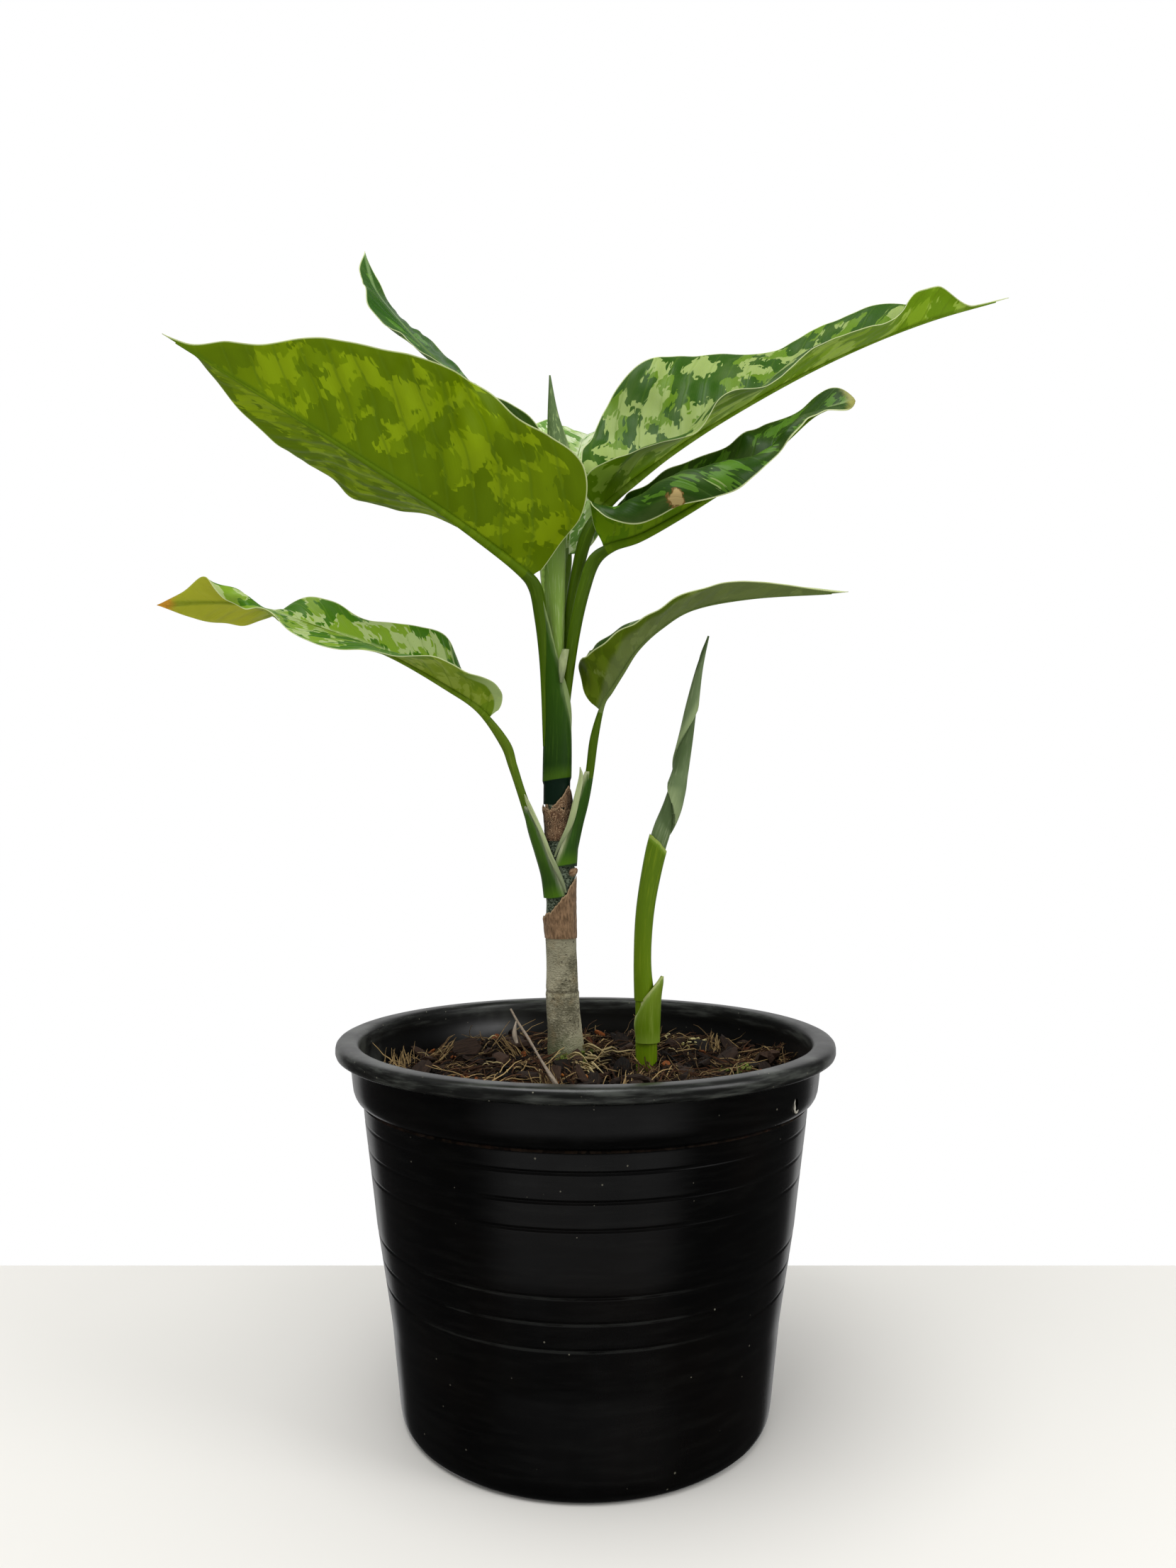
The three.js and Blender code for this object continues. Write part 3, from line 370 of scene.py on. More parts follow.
class Graph:
    """Places nodes in a tree and wires them. An input is given a number, a colour or a socket."""

    def __init__(self, tree):
        self.tree = tree

    def wire(self, sockets, given):
        """Sets each named input, or connects it if it is given a socket."""
        for key, value in given.items():
            if isinstance(value, bpy.types.NodeSocket):
                self.tree.links.new(value, sockets[key])
            else:
                sockets[key].default_value = value

    def put(self, kind, inputs, **settings):
        """Adds a node of this kind, with its settings made and its inputs wired."""
        made = self.tree.nodes.new(kind)
        for key, value in settings.items():
            setattr(made, key, value)
        self.wire(made.inputs, inputs)
        return made

    def math(self, operation, *values, clamp=False):
        inputs = dict(enumerate(values))
        return self.put("ShaderNodeMath", inputs, operation=operation, use_clamp=clamp).outputs[0]

    def scaled(self, value, factor, added=None):
        """The value times the factor, plus what is added."""
        if added is None:
            return self.math("MULTIPLY", value, factor)
        return self.math("MULTIPLY_ADD", value, factor, added)

    def distance(self, value, middle):
        """How far the value is from the middle."""
        return self.math("ABSOLUTE", self.math("SUBTRACT", value, middle))

    def step(self, value, low, high):
        """0 below low and 1 above high, smooth between."""
        inputs = {"Value": value, "From Min": low, "From Max": high}
        return self.put("ShaderNodeMapRange", inputs, interpolation_type="SMOOTHSTEP").outputs[0]

    def vector(self, operation, first, second):
        inputs = {0: first, "Scale" if operation == "SCALE" else 1: second}
        return self.put("ShaderNodeVectorMath", inputs, operation=operation).outputs[0]

    def length(self, vector, start=(0.0, 0.0, 0.0)):
        inputs = {0: vector, 1: start}
        return self.put("ShaderNodeVectorMath", inputs, operation="DISTANCE").outputs["Value"]

    def parts(self, vector):
        return self.put("ShaderNodeSeparateXYZ", {0: vector}).outputs

    def joined(self, x, y, z=0.0):
        return self.put("ShaderNodeCombineXYZ", {0: x, 1: y, 2: z}).outputs[0]

    def noise(self, vector, scale, detail=2.0, roughness=0.5):
        inputs = {"Vector": vector, "Scale": scale, "Detail": detail, "Roughness": roughness}
        return self.put("ShaderNodeTexNoise", inputs).outputs[0]

    def attribute(self, name, output="Fac"):
        return self.put("ShaderNodeAttribute", {}, attribute_name=name).outputs[output]

    def object_place(self):
        return self.put("ShaderNodeTexCoord", {}).outputs["Object"]

    def mix(self, share, first, second):
        """Two colours mixed; one that is given as text is six hex digits."""
        tones = [colour(tone) if isinstance(tone, str) else tone for tone in (first, second)]
        made = self.put("ShaderNodeMix", {0: share, 6: tones[0], 7: tones[1]}, data_type="RGBA")
        return made.outputs[2]

    def tint(self, base, mask, tone, strength=1.0):
        """The base with a tone laid over it, as strong as the mask times the strength."""
        return self.mix(mask if strength == 1.0 else self.scaled(mask, strength), base, tone)

    def bump(self, height, distance, strength):
        inputs = {"Height": height, "Distance": distance, "Strength": strength}
        return self.put("ShaderNodeBump", inputs).outputs[0]

    def group(self, tree, inputs):
        return self.put("ShaderNodeGroup", inputs, node_tree=tree).outputs

    def specks(self, vector, scale, share, radius):
        inputs = {"Vector": vector, "Scale": scale, "Share": share, "Radius": radius}
        return self.group(SPECKS, inputs)["Mask"]

    def streaks(self, stem, scale, squeeze):
        return self.group(STREAKS, {"Stem": stem, "Scale": scale, "Squeeze": squeeze})["Value"]


SOCKETS = {"value": "NodeSocketFloat", "vector": "NodeSocketVector", "colour": "NodeSocketColor"}


def new_group(name, inputs, outputs):
    """Empty shader group with named sockets; gives its graph, its inputs and its output node."""
    tree = bpy.data.node_groups.new(name, "ShaderNodeTree")
    for key, kind in inputs.items():
        tree.interface.new_socket(key, in_out="INPUT", socket_type=SOCKETS[kind])
    for key, kind in outputs.items():
        tree.interface.new_socket(key, in_out="OUTPUT", socket_type=SOCKETS[kind])
    graph = Graph(tree)
    return graph, tree.nodes.new("NodeGroupInput").outputs, tree.nodes.new("NodeGroupOutput").inputs


def variegation_group():
    """Camouflage of three greens. The leaf map is shifted by a random step in each cell of a fine
    mosaic that is drawn out along the veins, which gives the patches their toothed borders, and
    swept back less than the veins are. Then two noises of it are cut, each at a height: dark
    patches first, which are commoner near the margin, then pale ones in what is left."""
    graph, given, result = new_group(
        "variegation",
        {"Leaf": "vector", "Margin": "value", "Patch": "value", "Dark": "colour", "Middle": "colour",
         "Pale": "colour", "Dark share": "value", "Pale share": "value", "Soft": "value",
         "Slant": "value", "Stretch": "value"},
        {"Color": "colour"})
    parts = graph.parts(given["Leaf"])
    straight = graph.scaled(graph.math("ABSOLUTE", parts[1]), given["Slant"], parts[0])
    level = graph.joined(straight, parts[1], parts[2])
    mosaic = graph.vector("MULTIPLY", given["Leaf"], (0.5, 0.26, 1.0))
    cell = graph.put("ShaderNodeTexVoronoi", {"Vector": mosaic, "Scale": 1.0, "Randomness": 0.85},
                     distance="CHEBYCHEV").outputs["Color"]
    jag = graph.vector("MULTIPLY", graph.vector("SUBTRACT", cell, (0.5, 0.5, 0.5)), (2.6, 3.2, 0.0))
    squeeze = graph.joined(1.0, given["Stretch"], 1.0)
    narrowed = graph.vector("MULTIPLY", graph.vector("ADD", level, jag), squeeze)
    torn = graph.vector("SCALE", narrowed, graph.math("DIVIDE", 1.0, given["Patch"]))
    first = graph.noise(torn, 1.0, 1.0)
    second = graph.noise(graph.vector("ADD", torn, (11.3, 5.7, 3.1)), 1.25, 1.0)
    lean = graph.scaled(graph.step(given["Margin"], 8.0, 0.5), 0.10, first)

    def highest(height, share):
        edge = graph.math("SUBTRACT", 1.0, share)
        return graph.step(height, edge, graph.math("ADD", edge, given["Soft"]))

    light = graph.mix(highest(second, given["Pale share"]), given["Middle"], given["Pale"])
    graph.wire(result, {"Color": graph.mix(highest(lean, given["Dark share"]), light, given["Dark"])})
    return graph.tree


def vein_group():
    """Side veins: the leaf map's first number is the same all along a vein, so each whole multiple
    of the spacing is a main vein, and the ninths between them are fine ones."""
    graph, given, result = new_group("veins", {"Leaf": "vector", "Spacing": "value"},
                                     {"Line": "value", "Height": "value"})
    counted = graph.math("DIVIDE", graph.parts(given["Leaf"])[0], given["Spacing"])
    place = graph.math("ADD", counted, graph.scaled(graph.noise(given["Leaf"], 0.1, 1.0), 0.4))
    line = graph.step(graph.distance(graph.math("FRACT", place), 0.5), 0.09, 0.0)
    fine = graph.math("PINGPONG", graph.scaled(place, 9.0), 0.5)
    graph.wire(result, {"Line": line, "Height": graph.scaled(fine, 0.3, graph.scaled(line, -1.0))})
    return graph.tree


def speck_group():
    """Scattered specks: a dot round the point of each cell, kept in only some of the cells."""
    graph, given, result = new_group(
        "specks", {"Vector": "vector", "Scale": "value", "Share": "value", "Radius": "value"},
        {"Mask": "value"})
    inputs = {"Vector": given["Vector"], "Scale": given["Scale"]}
    cells = graph.put("ShaderNodeTexVoronoi", inputs).outputs
    draw = graph.put("ShaderNodeSeparateColor", {0: cells["Color"]}).outputs
    kept = graph.math("LESS_THAN", draw[0], given["Share"])
    radius = graph.scaled(given["Radius"], graph.math("ADD", draw[1], 0.4))
    dot = graph.step(cells["Distance"], radius, graph.scaled(radius, 0.5))
    graph.wire(result, {"Mask": graph.scaled(dot, kept)})
    return graph.tree


def streak_group():
    """Streaks along a stem: noise on the straightened stem map, squeezed along its length."""
    graph, given, result = new_group(
        "streaks", {"Stem": "vector", "Scale": "value", "Squeeze": "value"}, {"Value": "value"})
    parts = graph.parts(given["Stem"])
    squeezed = graph.joined(parts[0], parts[1], graph.scaled(parts[2], given["Squeeze"]))
    graph.wire(result, {"Value": graph.noise(squeezed, given["Scale"], 3.0, 0.6)})
    return graph.tree


VARIEGATION = variegation_group()
VEINS = vein_group()
SPECKS = speck_group()
STREAKS = streak_group()


def finish_of(name, roughness, **sockets):
    """A new material; gives it, its graph and its shader, whose even values are set here."""
    material = bpy.data.materials.new(name)
    material.use_nodes = True
    shader = material.node_tree.nodes["Principled BSDF"]
    shader.inputs["Roughness"].default_value = roughness
    for key, value in sockets.items():
        shader.inputs[key.replace("_", " ")].default_value = value
    return material, Graph(material.node_tree), shader.inputs


def colour(text, alpha=1.0):
    """A screen colour written as six hex digits, in linear light."""
    parts = [int(text[k:k + 2], 16) / 255 for k in (0, 2, 4)]
    return tuple(c / 12.92 if c <= 0.04045 else ((c + 0.055) / 1.055) ** 2.4 for c in parts) + (alpha,)


# ---------------------------------------------------------------- leaf finishes

# Each leaf: dark, middle and pale green of the upper side and of the underside, whose greens are
# lightened as painted light for the light that shines through the blade; shares of dark and
# pale; size of the patches; spacing of the side veins and how high the blade swells between them.
# Some have more: slant (how far the patches are swept back), stretch (how far they are squeezed
# across), fade (how much rarer the pale ones grow towards the tip), a painted grey sheen along the
# midrib below, a yellow end, or dead spots.
LEAF_LOOKS = {
    "leaf_front_left": dict(upper=("3c6410", "7aa326", "b4c884"), lower=("5a7202", "6a8203", "7f960a"),
                            shares=(0.49, 0.50), patch=10.5, spacing=11.0, relief=0.4,
                            slant=1.05, stretch=1.35),
    "leaf_back_left": dict(upper=("2c5414", "4c7824", "86a468"), lower=("4a6a1c", "6a8a34", "8aa25a"),
                           shares=(0.60, 0.36), patch=10.0, spacing=8.0, relief=0.3),
    "leaf_right_upper": dict(upper=("2c5204", "5c7e14", "8ea25a"), lower=("64860e", "7a9a1e", "90ac40"),
                             shares=(0.50, 0.54), patch=10.0, spacing=10.0, relief=0.3, fade=0.16),
    "leaf_right_curled": dict(upper=("24420a", "48701a", "849a5a"), lower=("5c800a", "70900e", "82a024"),
                              shares=(0.53, 0.28), patch=6.5, spacing=9.0, relief=0.1, dead=True),
    "leaf_right_low": dict(upper=("34580e", "5a8226", "94ac6c"), lower=("50640e", "5e7216", "748638"),
                           shares=(0.50, 0.40), patch=8.0, spacing=8.0, relief=0.3, grey=True),
    "leaf_left_low": dict(upper=("40700e", "7a9c28", "a8bb78"), lower=("68841a", "788f22", "8a9e3a"),
                          shares=(0.44, 0.50), patch=7.5, spacing=7.0, relief=0.3, yellow=True),
    "leaf_back": dict(upper=("628c3a", "a0bc72", "ccd8b0"), lower=("6c9040", "9cb46c", "ccd8ac"),
                      shares=(0.46, 0.54), patch=6.5, spacing=8.0, relief=0.3),
}


# Each side of every leaf: roughness, coat and gloss; softness of the patches' borders; tone of the
# haze and of the specks; strengths of veins, midrib and bump; tones of veins and midrib, which are
# the leaf's own middle and pale green on the upper side. The darker midrib tone below is partly
# its olive colour and partly painted shade.
LEAF_SIDES = {
    "upper": dict(roughness=0.4, coat=0.02, gloss=0.1, soft=0.014, haze="7c8c50", speck="a9c47a",
                  vein=0.2, rib=0.55, bump=0.5),
    "lower": dict(roughness=0.52, coat=0.0, gloss=0.05, soft=0.024, haze="50660a", speck="3c4210",
                  vein=0.5, rib=0.75, bump=0.3, vein_tone="5c7610", rib_tone="54700a"),
}
DEAD_PATCH = (0.0294, -0.0301, 0.3039)  # metres
SCAR_SLANT = 0.155  # rise of a leaf scar per step to the right


def leaf_finish(name, look, side):
    """One side of a leaf: patches of three greens between the side veins, a pale line along the
    margin, a paler midrib above and a darker one below, partly its olive colour and partly painted
    shade, and what else its look names."""
    kind = LEAF_SIDES[side]
    material, graph, shader = finish_of(
        f"{name}_{side}", kind["roughness"], Subsurface_Weight=0.1, Subsurface_Scale=0.0012,
        Subsurface_Radius=(0.9, 1.0, 0.2), Coat_Weight=kind["coat"], Coat_Roughness=0.25,
        Specular_IOR_Level=kind["gloss"])
    # The underside greens are lightened as painted light: they stand for light shining through the blade.
    dark, middle, pale = (colour(text) for text in look[side])
    leaf = graph.attribute("leaf", "Vector")
    margin = graph.attribute("margin")
    share = graph.attribute("along")
    dark_share, pale_share = look["shares"]
    if "fade" in look:
        pale_share = graph.scaled(share, -look["fade"], pale_share + look["fade"] / 2)
        dark_share = graph.scaled(share, look["fade"] / 2, dark_share - look["fade"] / 4)
    patches = graph.group(VARIEGATION, {
        "Leaf": leaf, "Margin": margin, "Patch": look["patch"], "Dark": dark, "Middle": middle,
        "Pale": pale, "Dark share": dark_share, "Pale share": pale_share, "Soft": kind["soft"],
        "Slant": look.get("slant", 0.6), "Stretch": look.get("stretch", 0.85)})["Color"]
    veins = graph.group(VEINS, {"Leaf": leaf, "Spacing": look["spacing"]})
    cloud = graph.noise(leaf, 0.08, 3.0, 0.6)
    hazy = graph.tint(patches, 0.6, kind["haze"])
    base = graph.tint(patches, graph.step(cloud, 0.42, 0.72), hazy, 0.25)
    base = graph.tint(base, veins["Line"], kind.get("vein_tone", middle), kind["vein"])
    # Midrib: paler above; darker below, partly its olive colour and partly painted shade.
    across = graph.math("ABSOLUTE", graph.parts(leaf)[1])
    rib = graph.scaled(graph.step(across, 1.5, 0.4), kind["rib"])
    base = graph.tint(base, rib, kind.get("rib_tone", pale))
    # Painted sheen: a grey tone along the midrib of the underside that widens towards the tip.
    if "grey" in look and side == "lower":
        off = graph.scaled(share, -14.0, graph.scaled(cloud, 2.0, across))
        base = graph.tint(base, graph.step(off, 3.2, 0.8), "6c7850", 0.55)
    base = graph.tint(base, graph.specks(leaf, 0.22, 0.08, 0.08), kind["speck"], 0.7)
    base = graph.tint(base, graph.step(margin, 0.55, 0.15), "c6d09c", 0.85)
    if "yellow" in look:
        base = yellow_end(graph, side, share, margin, cloud, rib, base)
    if "dead" in look:
        base = dead_spots(graph, share, cloud, base)
    relief = graph.scaled(graph.noise(leaf, 2.2, 3.0, 0.6), 0.25, veins["Height"])
    graph.wire(shader, {"Base Color": base, "Normal": graph.bump(relief, 0.0002, kind["bump"]),
                        "Roughness": graph.scaled(cloud, 0.2, kind["roughness"] - 0.1)})
    return material


def yellow_end(graph, side, share, margin, cloud, rib, base):
    """The oldest leaf: a yellow end with an orange tip, and a pale lobe at its base underneath."""
    if side == "lower":
        lobe = graph.scaled(graph.step(share, 0.20, 0.11), graph.step(margin, 3.6, 2.8))
        base = graph.tint(base, lobe, "a4b87a", 0.8)
    turned = graph.scaled(cloud, 0.12, share)
    ends = (0.84, 0.96) if side == "upper" else (0.66, 0.80)
    amount = graph.scaled(graph.step(turned, *ends), graph.scaled(rib, -0.6, 0.9))
    yellow = graph.tint(base, amount, "a8ab30")
    return graph.tint(yellow, graph.step(turned, 0.985, 1.03), "b8842c")


def dead_spots(graph, share, cloud, base):
    """A round tan patch with a brown border round one point of the leaf, and a brown tip."""
    place = graph.object_place()
    wobbly = graph.scaled(graph.noise(place, 600.0), 0.004, graph.length(place, DEAD_PATCH))
    brown = graph.tint(base, graph.step(wobbly, 0.0055, 0.0049), "6c5428")
    tan = graph.tint(brown, graph.step(wobbly, 0.0049, 0.0042), "ae9866")
    turned = graph.scaled(cloud, 0.06, share)
    yellow = graph.tint(tan, graph.step(turned, 0.975, 1.01), "8c8c48")
    return graph.tint(yellow, graph.step(turned, 1.015, 1.03), "745028")


def fleshy_finish(name, low, high, streak, change=(0.05, 0.6), membrane=None, foot=None, folds=None):
    """Stalk, sheath or rolled leaf: green that changes along its length, with lengthwise streaks. A
    membrane is two tones of the thin border, its width and how much narrower it is higher up. A
    foot is the height of the old leaf scar, the tone below it and the tone of the line on it,
    which slants down to the left. Folds are the tones in the shade of a rolled edge and on the
    edge itself."""
    material, graph, shader = finish_of(name, 0.42, Subsurface_Weight=0.1, Subsurface_Scale=0.0015,
                                        Subsurface_Radius=(0.8, 1.0, 0.3), Specular_IOR_Level=0.12)
    along = graph.attribute("along")
    streaks = graph.streaks(graph.attribute("stem", "Vector"), 1.5, 0.06)
    base = graph.mix(graph.step(graph.scaled(streaks, 0.1, along), *change), low, high)
    base = graph.tint(base, graph.step(streaks, 0.5, 0.72), streak, 0.55)
    if folds:
        swell = graph.attribute("swell")
        base = graph.tint(base, graph.step(swell, 0.99, 0.89), folds[0], 0.55)
        base = graph.tint(base, graph.step(swell, 1.09, 1.15), folds[1], 0.5)
    if membrane:
        outer, inner, wide, narrowed = membrane
        inward = graph.scaled(graph.step(along, 0.5, 0.62), narrowed, graph.attribute("margin"))
        thin = graph.scaled(streaks, 1.2, inward)
        base = graph.tint(base, graph.step(thin, wide + 1.1, wide - 0.2), outer, 0.75)
        base = graph.tint(base, graph.step(thin, wide, wide - 0.6), inner)
    if foot:
        scar, below, line = foot
        place = graph.parts(graph.object_place())
        above = graph.math("SUBTRACT", graph.scaled(place[0], -SCAR_SLANT, place[2]), scar * MM)
        base = graph.tint(base, graph.step(above, 0.006, 0.0), line, 0.6)
        base = graph.tint(base, graph.step(above, 0.0002, -0.0002), below)
    graph.wire(shader, {"Base Color": base, "Normal": graph.bump(streaks, 0.0003, 0.5)})
    return material


# ---------------------------------------------------------------- leaves

BLADE_HALF = 0.3
CURL_SLICES = 12
SHEATH_SLOT, TONGUE_SLOT = 3, 4
CLASP_GAP = 0.06
PAPER = 0.25


def outline_share(u, powers, tail=(1, 0)):
    """Half width at u as a share of the widest: u^rise (1 - u^2)^fall, scaled to 1 at its peak. A
    tail (place, depth) takes the share off past that place, which leaves a narrow drip tip."""
    rise, fall = powers
    peak = math.sqrt(rise / (rise + 2 * fall))
    full = u ** rise * (1 - u * u) ** fall / (peak ** rise * (1 - peak * peak) ** fall)
    return full * (1 - tail[1] * smooth_step(u, tail[0] - 0.05, tail[0] + 0.02))


def blade_middle(leaf, u, v):
    """Middle surface of a blade at u (0 base, 1 tip) and v (-1 left margin, 1 right margin). From
    the midrib each half goes out level across, turned up by lift and by curl v^1.5 more, summed in
    slices; the margin adds waves, and sweep draws it back near the base."""
    centre = spline(leaf["midrib"], u)
    along = direction(leaf["midrib"], u, 1e-4)
    across = unit(np.cross(along, [0, 0, 1.0]))
    up = np.cross(across, along)
    place = np.zeros((len(u), len(v), 3))
    width = np.zeros((len(u), len(v)))
    for side, key in ((-1, "left"), (1, "right")):
        half = leaf[key]
        mine = v <= 0 if side < 0 else v > 0
        out = np.abs(v[mine])
        share = outline_share(u, leaf["outline"], leaf.get("tail", (1, 0)))
        reach = (leaf["width"] * share * spline(half["reach"], u))[:, None]
        lift = np.radians(spline(half["lift"], u))[:, None, None]
        curl = np.radians(spline(half.get("curl", (0, 0)), u))[:, None, None]
        slices = (np.arange(CURL_SLICES) + 0.5) / CURL_SLICES
        turn = lift + curl * (out[None, :, None] * slices) ** 1.5
        level = np.cos(turn).mean(-1) * out * reach
        height = np.sin(turn).mean(-1) * out * reach
        tall, waves, start = half["wave"]
        swing = np.sin(TURN * (waves * u + start)) * np.sin(np.pi * u) ** 0.7
        ripple = 0.4 * share * np.sin(TURN * (waves * 2.7 * u + start * 2 + 0.2))
        wave = out ** 2.2 * (tall * swing + ripple)[:, None]
        edge = lift[..., 0] + curl[..., 0] * out ** 1.5
        swept = -half["sweep"] * out ** 1.6 * (1 - u[:, None]) ** 4 * reach
        place[:, mine] = (centre[:, None]
                          + (side * (level - wave * np.sin(edge)))[..., None] * across[:, None]
                          + (height + wave * np.cos(edge))[..., None] * up[:, None]
                          + swept[..., None] * along[:, None])
        width[:, mine] = out * reach
    return place, width


def grid_normals(place):
    """Unit normals of a grid of points, (next column) x (next row)."""
    return unit(np.cross(np.gradient(place, axis=1), np.gradient(place, axis=0)))


def blade(leaf, seed, spacing, relief):
    """Two faces half a thickness to either side of the middle surface, thinner at the margin. Both
    follow the side veins: the surface sinks along each and swells between them, by a cosine, and is
    puckered at random. The upper face has a groove over the midrib, deepest at the base."""
    x = np.linspace(0, 1, 171)
    u = 0.004 + 0.994 * (0.75 * x + 0.25 * x ** 2)
    w = np.linspace(-1, 1, 81)
    v = np.sign(w) * (1 - (1 - np.abs(w)) ** 1.25)
    place, width = blade_middle(leaf, u, v)
    run = run_of(spline(leaf["midrib"], u))[:, None]
    vein = run - (0.6 + 0.5 * u[:, None]) * width - 0.006 * width ** 2
    full = width[:, [0, -1]][:, (v > 0).astype(int)]
    margin = np.clip(full * (1 - np.abs(v)), 0, 12)
    swell = -np.cos(TURN * (vein / spacing)) * smooth_step(width, 0.8, 7) * smooth_step(margin, 0.3, 5)
    pucker = 0.3 * rough(place, 16, seed, 2) * smooth_step(width, 2, 10)
    normal = grid_normals(place)
    lifted = place + normal * (relief * swell + pucker)[..., None]
    half = BLADE_HALF * (0.35 + 0.65 * smooth_step(margin, 0, 2.5))[..., None]
    groove = 0.35 * np.exp(-(width / 1.1) ** 2) * (1 - u[:, None])
    face = lifted + normal * (half - groove[..., None])
    back = lifted - normal * half
    leaf_map = np.stack([vein, width * np.sign(v), np.full_like(vein, seed * 37.0)], -1)
    return wall(face, back, {"leaf": leaf_map, "margin": margin, "along": u[:, None] + 0 * vein})


def stalk(leaf, seed, slots):
    """Leaf stalk that runs on as the keel under the blade: it hangs below the midrib by 0.7 of its
    radius and thins out to the tip. The keel has the maps of the blade's midrib.
    Below the height "wrapped" it is a ridge of the sheath."""
    rib_u = np.linspace(0.05, 0.97, 8)
    forward = direction(leaf["midrib"], rib_u, 0.01)
    up = np.cross(unit(np.cross(forward, [0, 0, 1.0])), forward)
    rib_radius = 0.25 + (leaf["radius"][-1] - 0.9) * (1 - rib_u) ** 1.3
    lowered = spline(leaf["midrib"], rib_u) - up * (rib_radius * 0.7)[:, None]
    path = np.concatenate([leaf["stalk"], lowered])
    sides, steps = 20, 150
    shell = tube(path, np.concatenate([leaf["radius"], rib_radius]), sides, steps)
    joint = (len(leaf["stalk"]) - 0.3) / (len(path) - 1)
    length = shell["maps"]["stem"][:, 2]
    share = shell["maps"]["along"][:, 0]
    start = np.interp(joint, share[:-2:sides], length[:-2:sides])
    shell["maps"]["leaf"] = np.stack([length - start, 0 * length, 0 * length + seed * 37.0], -1)
    shell["maps"]["margin"] = np.full((len(length), 1), 12.0)
    keel = np.interp(share, [joint, 1], rib_u[[0, -1]])
    shell["maps"]["along"] = np.where(share < joint, share, keel)[:, None]
    rings = np.where(np.arange(steps) / steps < joint, *slots)
    rings[shell["points"][:-2 - sides:sides, 2] < leaf.get("wrapped", 0)] = SHEATH_SLOT
    rings = np.repeat(rings, sides)
    shell["painted"] = np.concatenate([rings, np.repeat(slots, sides)])
    return shell


def clasp(sheath, slot, seed):
    """Clasping wall: an arc round the axis whose spread, radius (inner) and facing are read from
    lists. It thins towards its free edges, which wave a little, and below the height of its scar;
    its top edge is uneven."""
    t, w = grid_shares(60, 60)
    spread, facing, inner = (spline(sheath[key], t) for key in ("spread", "facing", "inner"))
    angle = np.radians(facing + spread * w)
    uneven = t + 0.012 * np.sin(9 * w + 3 * seed) * smooth_step(t, 0.8, 1)
    centre = spline(sheath["axis"], np.clip(uneven, 0, 1))
    free = (1 - np.abs(w)) * np.radians(spread) * inner
    flare = 0.25 * (1 - smooth_step(free, 0, 2)) * np.sin(14 * t + seed)
    thick = 0.12 + 0.5 * smooth_step(free, 0, 4)
    slanted = centre[..., 2] - SCAR_SLANT * (inner * np.cos(angle) + centre[..., 0])
    thick = thick - 0.4 * smooth_step(sheath.get("scar", 0) - slanted, 0, 0.3)
    length = math.dist(sheath["axis"][-1], sheath["axis"][0])
    margin = np.minimum(free, (1 - t) * length * 0.6 + 0.4)
    maps = {"stem": polar(inner, angle, t * length), "margin": margin, "along": t + 0 * w}
    clear = inner + CLASP_GAP + flare
    return wall(centre + polar(clear + thick, angle), centre + polar(clear, angle), maps, (slot, slot))


def tongue(path, widths, facing, cup, thick=0.2):
    """Thin tongue along a curve: it spreads level to either side by the width read from the list,
    and its middle stands out towards the side it faces by cup (1 - w^2)."""
    t, w = grid_shares(40, 13)
    turn = math.radians(facing)
    out, across = polar(1, turn), polar(1, turn + QUARTER)
    width = spline(widths, t)
    middle = spline(path, t) + (width * w)[..., None] * across
    cupped = middle + (cup * (1 - w ** 2) + 0.1 * np.sin(16 * t + 3 * w))[..., None] * out
    maps = {"stem": np.stack([width * w, 0 * width * w, 40 * t + 0 * w], -1),
            "margin": width * (1 - np.abs(w)), "along": t + 0 * w}
    return wall(cupped + thick * out, cupped, maps, (TONGUE_SLOT, TONGUE_SLOT))


STALK = fleshy_finish("stalk", "466204", "425c06", "5c7816")
LOW_STALK = fleshy_finish("stalk_low", "48660e", "5c7410", "74882a")
SHEATHS = {
    "leaf_front_left": fleshy_finish("sheath_top", "1e3a0a", "2f5208", "3a5a14", (0.1, 0.7),
                                     ("5a7040", "82965e", 3.0, 1.6), (214.9, "0c2014", "4a6c12")),
    "leaf_right_low": fleshy_finish("sheath_right", "2c4e16", "2f5212", "446826", (0.1, 0.7),
                                    ("7c8a5c", "a4ac84", 1.9, 0), (184.3, "2a3a24", "527c0c")),
    "leaf_left_low": fleshy_finish("sheath_left", "2e4e12", "3c5e14", "4a6c22", (0.1, 0.7),
                                   ("6c785c", "949c7c", 1.9, 0), (173.4, "2a3a24", "527c0c")),
}
MEMBRANE = fleshy_finish("membrane", "7c8664", "a0ac7c", "b8c49c", (0.2, 0.6))

for number, (name, leaf) in enumerate(LEAVES.items(), 1):
    look = LEAF_LOOKS[name]
    finishes = [leaf_finish(name, look, "upper"), leaf_finish(name, look, "lower"),
                LOW_STALK if name == "leaf_left_low" else STALK]
    shells = [blade(leaf, number, look["spacing"], look["relief"]), stalk(leaf, number, (2, 1))]
    if "sheath" in leaf:
        finishes += [SHEATHS[name], MEMBRANE]
        shells.append(clasp(leaf["sheath"], SHEATH_SLOT, number))
        shells += [tongue(**each) for each in leaf["tongues"]]
    make(f"{name}_blade", shells, finishes, name)


# ---------------------------------------------------------------- rolled leaf and offset shoot

